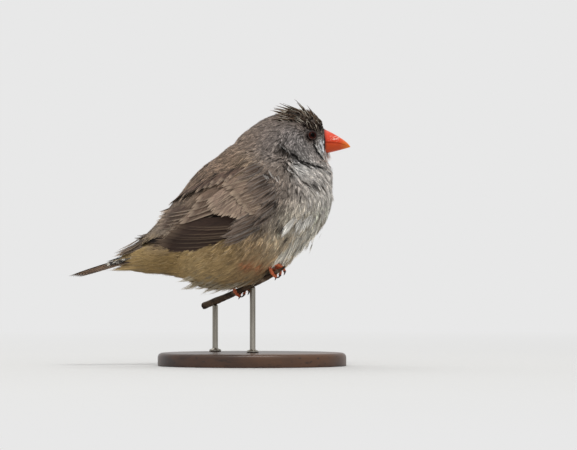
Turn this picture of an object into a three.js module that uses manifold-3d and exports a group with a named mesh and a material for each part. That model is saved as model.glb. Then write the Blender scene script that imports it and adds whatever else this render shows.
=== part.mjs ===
// A female zebra finch, fluffed up and gripping a cut twig, on a plain display stand.
// Millimetres, +Z up. The bill points along +X and the bird's left side is +Y.
// The origin is the middle of the underside of the stand's base.
import * as THREE from 'three';
import Module from 'manifold-3d';
import { mergeVertices } from 'three/addons/utils/BufferGeometryUtils.js';

const wasm = await Module();
wasm.setup();

const seam = 0.35; // clearance between neighbouring pieces
const gap = seam / 2; // what each side of a thin cut gives up
const headCell = 3.1; // mesh size on the head
const bodyCell = 4.8; // mesh size on the body
const wingCell = 4.6; // mesh size on the wings
const pocketCell = 6.6; // mesh size where the wings meet the body

// Soft masses of the plumage, to the tips of the coat.
// at is the middle, half the half lengths along X, Y and Z, and tilt turns the mass about Y.
// A mass with its middle off the Y = 0 plane is one of a pair.
const headMasses = [
  { name: 'skull', at: [12.6, 0, 78.6], half: [11.6, 9.7, 9.9], tilt: -8 },
  { name: 'forehead', at: [18.6, 0, 80.2], half: [7.3, 6.6, 6.9], tilt: -30 },
  { name: 'face', at: [20.2, 0, 76.6], half: [6.1, 6.0, 6.9], tilt: 0 },
  { name: 'cheek', at: [15.2, 3.4, 74.8], half: [8.4, 6.7, 6.2], tilt: -18 },
  { name: 'nape', at: [2.8, 0, 75.2], half: [10.2, 9.5, 8.3], tilt: 24 },
];
const neckMasses = [
  { name: 'throat', at: [17.7, 0, 68.6], half: [9.9, 8.3, 6.6], tilt: -14 },
  { name: 'ruff', at: [8.4, 0, 66.6], half: [18.4, 15.2, 8.6], tilt: -14 },
  { name: 'hindneck', at: [-2.4, 0, 69.2], half: [11.2, 11.6, 8.5], tilt: 28 },
];
const trunkMasses = [
  { name: 'breast', at: [9.4, 0, 56.6], half: [18.9, 18.4, 15.0], tilt: 18 },
  { name: 'belly', at: [-4.8, 0, 46.8], half: [21.4, 20.0, 18.2], tilt: 28 },
  { name: 'lower breast', at: [7.6, 0, 47.6], half: [13.6, 14.6, 11.0], tilt: 44 },
  { name: 'flank', at: [-7.0, 9.0, 50.0], half: [17.0, 11.4, 14.0], tilt: 34 },
  { name: 'mantle', at: [-9.0, 0, 60.0], half: [15.0, 15.6, 12.5], tilt: 41 },
  { name: 'rump', at: [-23.8, 0, 47.6], half: [15.0, 10.6, 8.4], tilt: 41 },
  { name: 'vent', at: [-15.0, 0, 38.6], half: [9.6, 12.4, 10.6], tilt: 20 },
  { name: 'tail base', at: [-34.2, 0, 38.6], half: [12.4, 6.2, 5.4], tilt: 10 },
];
const headBlend = 5;
const neckBlend = 6;
const trunkBlend = 8;
const cheekFold = 1.1; // sharpness of the fold under the cheek
const ruffFold = 2.6; // sharpness of the fold under the ruff

// Bill
const billTip = { x: 34.4, z: 76.6 };
const billBase = { x: 24.6, culmen: 83.2, gape: 78.3, gonys: 74.0, halfWidth: 3.7 };
const billRootX = 22.2; // how far the bill reaches into the head
const billTaper = { culmen: 0.68, gonys: 0.9, width: 0.72 }; // powers of the share left to the tip
const billRim = { height: 0.12, width: 0.22, boxy: 0.9 };
const gapeBow = 3; // power of the curve of the gape

// Eyes
const eye = { x: 20.6, z: 80.6, radius: 2.05, sunk: 1.15 };

// Folded wings, drawn from the side
const wingOutline = [
  [6.2, 57.0], [2.0, 65.2], [-8.0, 68.8], [-18.0, 66.4], [-27.0, 60.6],
  [-35.6, 52.4], [-40.4, 45.2], [-33.0, 42.2], [-22.0, 41.2], [-10.0, 43.4], [1.0, 48.0],
];
const wingDepth = 1.7; // how deep the wing lies in the coat
const shoulder = { x: 5.0, z: 58.5 };
const covertReach = 21.5; // from the shoulder to the tips of the coverts
const coverLift = 0.55; // how far the coverts stand over the coat
const flightLift = 0.25;
const primaryLift = 0.0;
const tertialEdge = { x: -9.0, z: 76.0, radius: 31.5 }; // arc between the tertials and the primaries

// Tail
const tail = { rootX: -33.0, rootZ: 39.9, droop: 15.8, length: 30.4, thick: 0.66, stack: 0.38,
  tiers: 3, spread: 3.6, step: 1.0, featherWidth: 5.4 };
const barred = { rootX: -32.0, tipX: -54.0, rootWide: 4.9, tipWide: 2.6, rootThick: 2.2, tipThick: 0.5,
  over: 0.6, under: 0.6 };

// Twig, from its cut end to its thorn tip, with the two grips between
const cutEnd = [-17.2, 18.4, 20.6];
const gripLeft = [-4.2, 4.0, 26.3];
const gripRight = [8.6, -10.2, 32.9];
const thornTip = [11.5, -13.6, 34.8];
const twigRadius = { cut: 1.2, thorn: 0.3, grip: 1.0 };
const twigKnot = { share: 0.16, reach: 0.04, height: 0.14 };
const gripShare = 0.6; // from here on the twig has its grip radius
const thornShare = 0.78; // from here on it tapers to the thorn

// Legs
const shankRadius = 0.62;
const toeRadius = 0.62;
const clawRadius = 0.36;
const toeGap = 0.3; // between the toes of a foot
const toeLift = 0.32; // clearance between the toes and the bark
const knuckleLift = 1.25; // how far the toes arch up at their root
const heelRise = 1.7; // from the toes' roots to the joint over them
const heelAngle = -42; // degrees round the twig, behind its top
const shankBow = 0.6;
const ankleRight = [-6.0, -12.4, 33.8];
const ankleLeft = [-14.5, 7.4, 35.2];

// Stand
const base = { halfX: 33, halfY: 24, height: 4.6, bevel: 0.8 };
const rodRadius = 1.0;
const rodGap = 0.3; // at each end of a rod

const materials = {
  head: plumage(0x77706c),
  crest: plumage(0x50463f),
  neck: plumage(0x7d736b),
  trunk: plumage(0x9b9184),
  rump: plumage(0xb8ab90),
  thigh: plumage(0xb3a68b),
  coverts: plumage(0x6b5b4e),
  secondaries: plumage(0x5d4d42),
  primaries: plumage(0x43372f),
  tail: plumage(0x2d2623),
  barred: plumage(0x4a4744),
  bill: horn(0xe0552f, 0.35),
  eye: horn(0x2c100c, 0.08),
  leg: horn(0xc4693f, 0.55),
  claw: horn(0x33231b, 0.4),
  twig: horn(0x6b5a48, 0.85),
  base: horn(0x3a2a20, 0.45),
  rod: new THREE.MeshStandardMaterial({ color: 0x8f8a80, roughness: 0.3, metalness: 1.0 }),
};

function plumage(color) {
  return new THREE.MeshStandardMaterial({ color, roughness: 0.9, metalness: 0.0 });
}

function horn(color, roughness) {
  return new THREE.MeshStandardMaterial({ color, roughness, metalness: 0.0 });
}

// Distance fields

function massDistance(x, y, z, mass) {
  const turn = THREE.MathUtils.degToRad(mass.tilt);
  const dx = x - mass.at[0];
  const dz = z - mass.at[2];
  const along = dx * Math.cos(turn) + dz * Math.sin(turn);
  const across = Math.abs(y) - mass.at[1];
  const up = dz * Math.cos(turn) - dx * Math.sin(turn);
  const [a, b, c] = mass.half;
  const near = Math.hypot(along / a, across / b, up / c);
  const slope = Math.hypot(along / (a * a), across / (b * b), up / (c * c));
  return slope < 1e-6 ? -Math.min(a, b, c) : (near * (near - 1)) / slope;
}

function smoothMin(a, b, blend) {
  const h = Math.max(blend - Math.abs(a - b), 0) / blend;
  return Math.min(a, b) - (h * h * blend) / 4;
}

function blended(x, y, z, masses, blend) {
  return masses.map((mass) => massDistance(x, y, z, mass)).reduce((a, b) => smoothMin(a, b, blend));
}

function bodyDistance(x, y, z) {
  const head = blended(x, y, z, headMasses, headBlend);
  const neck = blended(x, y, z, neckMasses, neckBlend);
  const trunk = blended(x, y, z, trunkMasses, trunkBlend);
  return smoothMin(smoothMin(neck, trunk, ruffFold), head, cheekFold);
}

// A closed mesh of the surface where field is zero, with one vertex for each grid cell that it crosses.
function surfaceOf(field, box, cell) {
  const steps = [0, 1, 2].map((k) => Math.ceil((box.max[k] - box.min[k]) / cell));
  const start = [0, 1, 2].map((k) => (box.max[k] + box.min[k] - steps[k] * cell) / 2);
  const [nx, ny, nz] = steps.map((n) => n + 1);
  const values = new Float64Array(nx * ny * nz);
  const at = (i, j, k) => (k * ny + j) * nx + i;
  const place = (i, j, k) => [start[0] + i * cell, start[1] + j * cell, start[2] + k * cell];
  const onRim = (i, j, k) => i * j * k === 0 || i === nx - 1 || j === ny - 1 || k === nz - 1;
  for (let k = 0; k < nz; k++)
    for (let j = 0; j < ny; j++)
      for (let i = 0; i < nx; i++) {
        const value = field(...place(i, j, k));
        values[at(i, j, k)] = onRim(i, j, k) ? Math.max(value, cell / 4) : value;
      }

  const positions = [];
  const vertexOf = new Map();
  for (let k = 0; k < nz - 1; k++)
    for (let j = 0; j < ny - 1; j++)
      for (let i = 0; i < nx - 1; i++) {
        const point = crossing(i, j, k);
        if (!point) continue;
        vertexOf.set(at(i, j, k), positions.length / 3);
        positions.push(...settle(field, point, cell));
      }

  function crossing(i, j, k) {
    const sum = [0, 0, 0];
    let found = 0;
    for (let corner = 0; corner < 8; corner++)
      for (let axis = 0; axis < 3; axis++) {
        if ((corner >> axis) & 1) continue;
        const a = [i + (corner & 1), j + ((corner >> 1) & 1), k + ((corner >> 2) & 1)];
        const b = [...a];
        b[axis] += 1;
        const va = values[at(...a)];
        const vb = values[at(...b)];
        if (va < 0 === vb < 0) continue;
        const pa = place(...a);
        const pb = place(...b);
        const share = va / (va - vb);
        for (let n = 0; n < 3; n++) sum[n] += pa[n] + (pb[n] - pa[n]) * share;
        found += 1;
      }
    return found ? sum.map((v) => v / found) : null;
  }

  const index = [];
  for (let k = 0; k < nz - 1; k++)
    for (let j = 0; j < ny - 1; j++)
      for (let i = 0; i < nx - 1; i++) {
        const here = values[at(i, j, k)] < 0;
        const quads = [
          [[i + 1, j, k], [i, j - 1, k - 1], [i, j, k - 1], [i, j, k], [i, j - 1, k]],
          [[i, j + 1, k], [i - 1, j, k - 1], [i - 1, j, k], [i, j, k], [i, j, k - 1]],
          [[i, j, k + 1], [i - 1, j - 1, k], [i, j - 1, k], [i, j, k], [i - 1, j, k]],
        ];
        for (const [next, ...cells] of quads) {
          if (here === values[at(...next)] < 0) continue; // no face crosses this edge
          const [a, b, c, d] = cells.map((cellAt) => vertexOf.get(at(...cellAt)));
          index.push(...(here ? [a, b, c, a, c, d] : [a, c, b, a, d, c]));
        }
      }
  return closedGeometry(positions, index);
}

// A geometry whose faces already share their vertices.
function closedGeometry(positions, index) {
  const geometry = new THREE.BufferGeometry();
  geometry.setAttribute('position', new THREE.Float32BufferAttribute(positions, 3));
  geometry.setIndex(index);
  geometry.userData.closed = true;
  return geometry;
}

// Moves a point onto the surface where field is zero, by no more than half a cell.
function settle(field, point, cell) {
  const step = 0.02;
  const p = [...point];
  for (let turn = 0; turn < 3; turn++) {
    const value = field(...p);
    const slope = [0, 1, 2].map((k) => {
      const q = [...p];
      q[k] += step;
      return (field(...q) - value) / step;
    });
    const size = slope[0] ** 2 + slope[1] ** 2 + slope[2] ** 2 || 1;
    for (let k = 0; k < 3; k++) {
      const moved = p[k] - (value * slope[k]) / size;
      p[k] = THREE.MathUtils.clamp(moved, point[k] - cell / 2, point[k] + cell / 2);
    }
  }
  return p;
}

// Solids

function solidOf(geometry) {
  const bare = geometry.clone();
  bare.deleteAttribute('normal');
  bare.deleteAttribute('uv');
  const merged = geometry.userData.closed ? bare : mergeVertices(bare, 1e-4);
  const triVerts = new Uint32Array(merged.index.array);
  return new wasm.Manifold(
    new wasm.Mesh({ numProp: 3, vertProperties: merged.attributes.position.array, triVerts }),
  );
}

function meshOf(name, solid, material) {
  const { numProp, numVert, vertProperties, triVerts } = largest(solid).getMesh();
  const positions = new Float32Array(numVert * 3);
  for (let i = 0; i < numVert; i++)
    positions.set(vertProperties.subarray(i * numProp, i * numProp + 3), i * 3);
  const geometry = new THREE.BufferGeometry();
  geometry.setAttribute('position', new THREE.BufferAttribute(positions, 3));
  geometry.setIndex(new THREE.BufferAttribute(triVerts, 1));
  geometry.computeVertexNormals();
  const mesh = new THREE.Mesh(geometry, material);
  mesh.name = name;
  return mesh;
}

function largest(solid) {
  return solid.decompose().reduce((a, b) => (b.volume() > a.volume() ? b : a));
}

function joined(solids) {
  return solids.reduce((a, b) => a.add(b));
}

// The mirror image across the Y = 0 plane, with its faces still pointing out.
function mirrored(geometry) {
  const twin = geometry.clone().scale(1, -1, 1);
  const order = twin.index ? twin.index.array : null;
  if (!order) return mirrored(mergeVertices(geometry, 1e-5));
  for (let i = 0; i < order.length; i += 3) [order[i + 1], order[i + 2]] = [order[i + 2], order[i + 1]];
  return twin;
}

// A closed body through rings of points, with a cap at each end.
function loft(rings) {
  const count = rings[0].length;
  const positions = rings.flat().flatMap((p) => [p.x, p.y, p.z]);
  const index = [];
  for (let r = 0; r < rings.length - 1; r++)
    for (let i = 0; i < count; i++) {
      const a = r * count + i;
      const b = r * count + ((i + 1) % count);
      index.push(a, b, a + count, b, b + count, a + count);
    }
  for (const [r, flip] of [[0, true], [rings.length - 1, false]]) {
    const middle = rings[r].reduce((sum, p) => sum.clone().add(p)).clone().divideScalar(count);
    const hub = positions.length / 3;
    positions.push(middle.x, middle.y, middle.z);
    for (let i = 0; i < count; i++) {
      const a = r * count + i;
      const b = r * count + ((i + 1) % count);
      index.push(...(flip ? [b, a, hub] : [a, b, hub]));
    }
  }
  const geometry = closedGeometry(positions, index);
  return volumeOf(geometry) < 0 ? turnedOut(geometry) : geometry;
}

function volumeOf(geometry) {
  const p = geometry.attributes.position;
  const order = geometry.index.array;
  const [a, b, c] = [new THREE.Vector3(), new THREE.Vector3(), new THREE.Vector3()];
  let sum = 0;
  for (let i = 0; i < order.length; i += 3) {
    a.fromBufferAttribute(p, order[i]);
    b.fromBufferAttribute(p, order[i + 1]);
    c.fromBufferAttribute(p, order[i + 2]);
    sum += a.dot(b.cross(c)) / 6;
  }
  return sum;
}

function turnedOut(geometry) {
  const order = geometry.index.array;
  for (let i = 0; i < order.length; i += 3) [order[i + 1], order[i + 2]] = [order[i + 2], order[i + 1]];
  return geometry;
}

// A round tube along points, whose radius is a function of the share of the way along.
function taperedTube(points, radiusAt, sides) {
  const curve = new THREE.CatmullRomCurve3(points.map((p) => new THREE.Vector3(...p)));
  const steps = Math.max(2, points.length - 1);
  const frames = curve.computeFrenetFrames(steps, false);
  const rings = [];
  for (let i = 0; i <= steps; i++) {
    const share = i / steps;
    const middle = curve.getPointAt(share);
    const ring = [];
    for (let k = 0; k < sides; k++) {
      const angle = (k / sides) * Math.PI * 2;
      ring.push(
        middle
          .clone()
          .addScaledVector(frames.normals[i], Math.cos(angle) * radiusAt(share))
          .addScaledVector(frames.binormals[i], Math.sin(angle) * radiusAt(share)),
      );
    }
    rings.push(ring);
  }
  return loft(rings);
}

function tubeSolid(points, radiusAt, sides) {
  return solidOf(taperedTube(points, radiusAt, sides));
}

function ball(at, radius, segments) {
  return solidOf(new THREE.SphereGeometry(radius, segments, Math.round(segments * 0.6)).translate(...at));
}

function egg(at, half) {
  const [around, down] = [10, 6];
  return solidOf(new THREE.SphereGeometry(1, around, down).scale(...half).translate(...at));
}

// A block that holds everything on one side of a plane through point, with its normal in the XZ plane.
function sideOfPlane(point, angle, gap) {
  const size = 200;
  const block = new THREE.BoxGeometry(size, size, size).translate(0, 0, size / 2 + gap);
  block.rotateY(THREE.MathUtils.degToRad(-angle)).translate(point[0], 0, point[1]);
  return solidOf(block);
}

// An outline in the XZ plane, extruded along Y from nearY to farY.
function sidePrism(shape, nearY, farY) {
  const settings = { depth: farY - nearY, bevelEnabled: false, curveSegments: 12 };
  const geometry = new THREE.ExtrudeGeometry(shape, settings);
  return solidOf(geometry.rotateX(Math.PI / 2).translate(0, farY, 0));
}

function closedSpline(points, grow, count) {
  const middle = new THREE.Vector2();
  points.forEach((p) => middle.add(new THREE.Vector2(...p).divideScalar(points.length)));
  const grown = points.map((p) => {
    const out = new THREE.Vector2(...p).sub(middle);
    return new THREE.Vector3(...out.setLength(out.length() + grow).add(middle).toArray(), 0);
  });
  const spots = new THREE.CatmullRomCurve3(grown, true).getPoints(count);
  return new THREE.Shape(spots.slice(0, -1).map((p) => new THREE.Vector2(p.x, p.y)));
}

// Body, parted by thin cuts

const bodyBox = { min: [-50, -26, 20], max: [36, 26, 96] };
const headBox = { min: [-12, -18, 58], max: [32, 18, 94] };
const cheekCut = { point: [10.2, 76.2], angle: 27.0 }; // along the fold under the cheek
const ruffCut = { point: [9.0, 67.6], angle: 18.5 }; // along the fold under the ruff
const crownCut = { point: [15.0, 84.6], angle: -4.0 }; // under the crest
const rumpCut = { point: [-22.0, 44.0], angle: -108.5 }; // across the body before the vent

function cutBelow(cut, gap) {
  return sideOfPlane(cut.point, 180 - cut.angle, gap);
}

function cutAbove(cut, gap) {
  return sideOfPlane(cut.point, -cut.angle, gap);
}

const coat = solidOf(surfaceOf(bodyDistance, bodyBox, bodyCell));
const fineCoat = solidOf(surfaceOf(bodyDistance, headBox, headCell));

// How far along a line the body ends, from a share inside it to one outside it.
function edgeOfBody(pointAt, inside, outside) {
  let low = inside;
  let high = outside;
  for (let turn = 0; turn < 30; turn++) {
    const middle = (low + high) / 2;
    if (bodyDistance(...pointAt(middle)) < 0) low = middle;
    else high = middle;
  }
  return low;
}

// Bill
const billStations = 6;
const billCorners = 10;

function billSolid(grow) {
  const rings = [billRing(billRootX, 0, grow)];
  for (let i = 0; i <= billStations; i++) {
    const u = i / billStations;
    rings.push(billRing(THREE.MathUtils.lerp(billBase.x, billTip.x, u) + grow * u, u, grow));
  }
  return solidOf(loft(rings));
}

function billRing(x, u, grow) {
  const left = 1 - u;
  const top = billTip.z + (billBase.culmen - billTip.z) * left ** billTaper.culmen + grow;
  const low = billTip.z - (billTip.z - billBase.gonys) * left ** billTaper.gonys - grow;
  const wide = billBase.halfWidth * left ** billTaper.width + billRim.width + grow;
  const middle = gapeHeight(u);
  const ring = [];
  for (let k = 0; k < billCorners; k++) {
    const angle = (k / billCorners) * Math.PI * 2;
    const s = Math.sin(angle);
    const c = Math.cos(angle);
    const reach = (c > 0 ? top - middle : middle - low) + billRim.height;
    ring.push(new THREE.Vector3(x, wide * Math.abs(s) ** billRim.boxy * Math.sign(s), middle + reach * c));
  }
  return ring;
}

function gapeHeight(u) {
  return billTip.z + (billBase.gape - billTip.z) * (1 - u ** gapeBow);
}

// A slab above or below the line where the two halves of the bill meet.
function billHalf(above) {
  const side = above ? 1 : -1;
  const reach = 12; // past the bill on every side
  const [backX, frontX] = [billRootX - reach, billTip.x + reach];
  const farZ = billTip.z + side * reach * 2;
  const line = [];
  for (let i = 0; i <= billStations; i++) {
    const u = i / billStations;
    const x = THREE.MathUtils.lerp(billBase.x, billTip.x, u);
    line.push(new THREE.Vector2(x, gapeHeight(u) + side * gap * 0.7));
  }
  const shape = new THREE.Shape();
  shape.moveTo(backX, line[0].y);
  line.forEach((p) => shape.lineTo(p.x, p.y));
  shape.lineTo(frontX, line[billStations].y);
  shape.lineTo(frontX, farZ);
  shape.lineTo(backX, farZ);
  shape.closePath();
  return sidePrism(shape, -reach, reach);
}

// Wings
const wingBox = { min: [-50, -26, 30], max: [14, 26, 80] };

function wingLayer(lift, cell) {
  return solidOf(surfaceOf((x, y, z) => bodyDistance(x, y, z) - lift, wingBox, cell));
}

function disc(spot, radius) {
  const shape = new THREE.Shape();
  shape.absarc(spot.x, spot.z, radius, 0, Math.PI * 2, false);
  return shape;
}

const wingFloor = wingLayer(-wingDepth, pocketCell);
const pocketFloor = wingLayer(-wingDepth - seam, pocketCell);
const middleGap = 0.5; // from the wing's edge to the Y = 0 plane
const wingPrism = sidePrism(closedSpline(wingOutline, 0, 24), -30, -middleGap);
const pocketPrism = sidePrism(closedSpline(wingOutline, seam, 24), -30, -middleGap + seam);
const wingPocket = pocketPrism.subtract(pocketFloor);
const covertDisc = sidePrism(disc(shoulder, covertReach), -30, 0);
const covertDiscWide = sidePrism(disc(shoulder, covertReach + seam), -30, 0);
const tertialDisc = sidePrism(disc(tertialEdge, tertialEdge.radius), -30, 0);
const tertialDiscWide = sidePrism(disc(tertialEdge, tertialEdge.radius + seam), -30, 0);

function wingParts() {
  const covertLayer = wingLayer(coverLift, wingCell).subtract(wingFloor).intersect(wingPrism);
  const flightLayer = wingLayer(flightLift, wingCell).subtract(wingFloor).intersect(wingPrism);
  const primaryLayer = wingLayer(primaryLift, wingCell).subtract(wingFloor).intersect(wingPrism);
  return {
    coverts: covertLayer.intersect(covertDisc),
    secondaries: flightLayer.subtract(covertDiscWide).intersect(tertialDisc),
    primaries: primaryLayer.subtract(covertDiscWide).subtract(tertialDiscWide),
  };
}

// Tail

// One tier of the tail, from above: a fan with a round-cornered feather tip at each side and a notch between
function tailTier(rank, grow) {
  const spread = THREE.MathUtils.degToRad(tail.spread * (rank + 0.5));
  const half = tail.featherWidth / 2 + grow;
  const length = tail.length - rank * tail.step + grow;
  const edge = (along, across) => {
    const x = along * Math.cos(spread) - across * Math.sin(spread);
    return [x, along * Math.sin(spread) + across * Math.cos(spread)];
  };
  const outer = [edge(0, half * 0.5), edge(length * 0.45, half), edge(length - half * 0.8, half * 0.9)];
  const tip = [edge(length, half * 0.25), edge(length - 0.1, -half * 0.45)];
  const notch = [length - half * 0.6, 0];
  const leftEdge = [...outer, ...tip];
  const rightEdge = leftEdge.map(([x, y]) => [x, -y]).reverse();
  const shape = new THREE.Shape([...leftEdge, notch, ...rightEdge].map((p) => new THREE.Vector2(...p)));
  const thick = tail.thick + grow * 2;
  const vane = new THREE.ExtrudeGeometry(shape, { depth: thick, bevelEnabled: false });
  return vane.translate(0, 0, tail.stack * (1 - rank) - thick / 2);
}

function tailSolid(grow) {
  const tiers = [];
  for (let rank = 0; rank < tail.tiers; rank++) {
    const tier = tailTier(rank, grow).rotateZ(Math.PI).rotateY(THREE.MathUtils.degToRad(-tail.droop));
    tiers.push(solidOf(tier.translate(tail.rootX, 0, tail.rootZ)));
  }
  return joined(tiers);
}

// The black and white barred coverts over the root of the tail
function barredCoverts() {
  const rings = [];
  const stations = 4;
  const corners = 8;
  const slope = Math.tan(THREE.MathUtils.degToRad(tail.droop));
  for (let i = 0; i <= stations; i++) {
    const u = i / stations;
    const x = THREE.MathUtils.lerp(barred.rootX, barred.tipX, u);
    const roundTip = Math.sqrt(1 - u ** 6 * 0.8);
    const wide = THREE.MathUtils.lerp(barred.rootWide, barred.tipWide, u ** 1.3) * roundTip;
    const thick = THREE.MathUtils.lerp(barred.rootThick, barred.tipThick, u ** 0.8);
    const middle = tail.rootZ + (x - tail.rootX) * slope + barred.over;
    const ring = [];
    for (let k = 0; k < corners; k++) {
      const angle = (k / corners) * Math.PI * 2;
      const up = Math.sin(angle) > 0 ? thick : barred.under;
      ring.push(new THREE.Vector3(x, wide * Math.cos(angle), middle + up * Math.sin(angle)));
    }
    rings.push(ring);
  }
  return solidOf(loft(rings));
}

// Crest of raised crown feathers, in rows from the forehead back
const crestRows = [
  { x: 23.2, rise: 60, length: 3.9, sides: [-1.2, 1.2] },
  { x: 20.4, rise: 46, length: 6.9, sides: [-2.8, 0, 2.8] },
  { x: 17.2, rise: 28, length: 7.6, sides: [-3.4, 0, 3.4] },
  { x: 13.8, rise: 9, length: 5.8, sides: [-2.4, 2.4] },
];
const spikeRadius = { root: 1.35, tip: 0.28 };
const spikeRoot = 0.9; // how deep a spike is rooted
const spikeBow = 0.3;
const spikeSpread = 0.3; // how far the side spikes lean out
const spikeSides = 4;
const crownInside = 78; // a height well inside the head

function crestSpikes() {
  const spikes = [];
  for (const row of crestRows)
    for (const y of row.sides) {
      const rise = THREE.MathUtils.degToRad(row.rise - Math.abs(y) * 2);
      const length = row.length * (1 - Math.abs(y) * 0.05);
      const top = edgeOfBody((z) => [row.x, y, z], crownInside, crownInside + 20);
      const root = [row.x, y, top - spikeRoot];
      const reach = [-Math.cos(rise) * length, y * spikeSpread, Math.sin(rise) * length];
      const middle = root.map((v, k) => v + reach[k] * 0.5 + (k === 2 ? spikeBow : 0));
      const tip = root.map((v, k) => v + reach[k]);
      const radiusAt = (share) => THREE.MathUtils.lerp(spikeRadius.root, spikeRadius.tip, share);
      spikes.push(tubeSolid([root, middle, tip], radiusAt, spikeSides));
    }
  return joined(spikes);
}

// Twig

function twigRadiusAt(share) {
  const body = THREE.MathUtils.lerp(twigRadius.cut, twigRadius.grip, Math.min(share / gripShare, 1));
  const knot = twigKnot.height * Math.exp(-(((share - twigKnot.share) / twigKnot.reach) ** 2));
  const thorn = Math.max(share - thornShare, 0) / (1 - thornShare);
  return (body + knot) * (1 - thorn ** 1.4 * (1 - twigRadius.thorn));
}

const twigCurve = new THREE.CatmullRomCurve3(
  [cutEnd, gripLeft, gripRight, thornTip].map((p) => new THREE.Vector3(...p)),
);
const twigSteps = 13;
const twigSides = 8;
const twigPoints = twigCurve.getSpacedPoints(twigSteps).map((p) => p.toArray());

function twigSolid(grow) {
  return tubeSolid(twigPoints, (share) => twigRadiusAt(share) + grow, twigSides);
}

// Feet. Each foot has a frame on the twig: along it, up from it, and forward over it.
function gripFrame(spot) {
  const middle = new THREE.Vector3(...spot);
  const share = nearestShare(middle);
  const along = twigCurve.getTangentAt(share).normalize();
  const up = new THREE.Vector3(0, 0, 1).addScaledVector(along, -along.z).normalize();
  const forward = new THREE.Vector3().crossVectors(up, along).normalize();
  return { middle, along, up, forward, radius: twigRadiusAt(share) };
}

function nearestShare(point) {
  let best = 0;
  for (let i = 0; i <= 400; i++)
    if (twigCurve.getPointAt(i / 400).distanceTo(point) < twigCurve.getPointAt(best).distanceTo(point))
      best = i / 400;
  return best;
}

// A point on a circle round the twig: angle from the top, forward positive, and shift along the twig.
function around(frame, angle, distance, shift) {
  const turn = THREE.MathUtils.degToRad(angle);
  return frame.middle
    .clone()
    .addScaledVector(frame.up, Math.cos(turn) * distance)
    .addScaledVector(frame.forward, Math.sin(turn) * distance)
    .addScaledVector(frame.along, shift)
    .toArray();
}

// Toes, in degrees round the twig from its top, with their shift along it at the tip and at the root
const toePlans = {
  middle: { start: -16, end: 142, spread: 0.2, root: 0.0 },
  inner: { start: -24, end: 118, spread: -2.5, root: -0.85 },
  outer: { start: -24, end: 118, spread: 2.6, root: 0.85 },
  hind: { start: -62, end: -168, spread: -0.6, root: 0.0 },
};
const clawArc = 44; // degrees round the twig
const clawStart = 5; // degrees past the end of the toe
const toeSteps = 5;
const clawSteps = 3;
const shankSteps = 4;
const toePads = 3; // pads along a toe
const padHeight = 0.06;
const knuckle = { height: 0.38, reach: 0.09 };
const heel = { height: 0.32, reach: 0.12 };

function footJoint(frame) {
  return around(frame, heelAngle, frame.radius + toeRadius + heelRise, 0);
}

function toePath(frame, plan, steps) {
  const path = [];
  for (let i = 0; i <= steps; i++) {
    const u = i / steps;
    const angle = THREE.MathUtils.lerp(plan.start, plan.end, u);
    const shift = THREE.MathUtils.lerp(plan.root, plan.spread, u ** 0.8);
    const lift = toeLift + knuckleLift * (1 - u) ** 3;
    path.push(around(frame, angle, frame.radius + toeRadius + lift, shift));
  }
  return path;
}

function clawPath(frame, plan) {
  const path = [];
  const turn = Math.sign(plan.end - plan.start);
  for (let i = 0; i <= clawSteps; i++) {
    const u = i / clawSteps;
    const angle = plan.end + turn * (clawStart + clawArc * u);
    const lift = toeLift + 0.1 + 0.5 * u * u;
    path.push(around(frame, angle, frame.radius + toeRadius + lift, plan.spread));
  }
  return path;
}

function toeRadiusAt(share, grow) {
  const pads = padHeight * Math.cos(share * Math.PI * 2 * toePads);
  return toeRadius * (1.05 - 0.32 * share) + pads + grow;
}

function clawRadiusAt(share, grow) {
  return clawRadius * (1 - share * 0.72) + grow;
}

function shankPath(ankle, joint) {
  const path = [];
  for (let i = 0; i <= shankSteps; i++) {
    const u = i / shankSteps;
    const spot = ankle.map((v, k) => THREE.MathUtils.lerp(v, joint[k], u));
    spot[2] += shankBow * Math.sin(u * Math.PI);
    path.push(spot);
  }
  return path;
}

function shankRadiusAt(share, grow) {
  const atKnuckle = knuckle.height * Math.exp(-(((share - 1) / knuckle.reach) ** 2));
  const atHeel = heel.height * Math.exp(-((share / heel.reach) ** 2));
  return shankRadius + atKnuckle + atHeel + grow;
}

function footPlan(grip, ankle) {
  const frame = gripFrame(grip);
  const joint = footJoint(frame);
  return { frame, joint, path: shankPath(ankle, joint) };
}

function shankSolid(plan, grow) {
  return tubeSolid(plan.path, (share) => shankRadiusAt(share, grow), 6);
}

function toeSolid(plan, name, grow) {
  const path = toePath(plan.frame, toePlans[name], toeSteps);
  return tubeSolid(path, (share) => toeRadiusAt(share, grow), 5);
}

// Plain room for a toe in the coat over it
function toeRoom(plan, name) {
  return tubeSolid(toePath(plan.frame, toePlans[name], 4), () => toeRadius + 2.4 * seam, 4);
}

function clawSolid(plan, name, grow) {
  return tubeSolid(clawPath(plan.frame, toePlans[name]), (share) => clawRadiusAt(share, grow), 4);
}

const feet = { left: footPlan(gripLeft, ankleLeft), right: footPlan(gripRight, ankleRight) };
const thighs = {
  left: { at: [-13.0, 8.6, 33.6], half: [8.4, 6.4, 7.0] },
  right: { at: [-6.6, -12.0, 35.0], half: [7.6, 6.2, 6.4] },
};

function footRoomOf(plan) {
  return joined([shankSolid(plan, seam), ...Object.keys(toePlans).map((name) => toeRoom(plan, name))]);
}

// Stand

function standBase() {
  const shape = new THREE.Shape();
  const { halfX, halfY, height, bevel } = base;
  shape.absellipse(0, 0, halfX - bevel, halfY - bevel, 0, Math.PI * 2, false, 0);
  const geometry = new THREE.ExtrudeGeometry(shape, {
    depth: height - 2 * bevel, bevelThickness: bevel, bevelSize: bevel, bevelSegments: 1, curveSegments: 15,
  });
  return solidOf(geometry.translate(0, 0, bevel));
}

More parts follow.
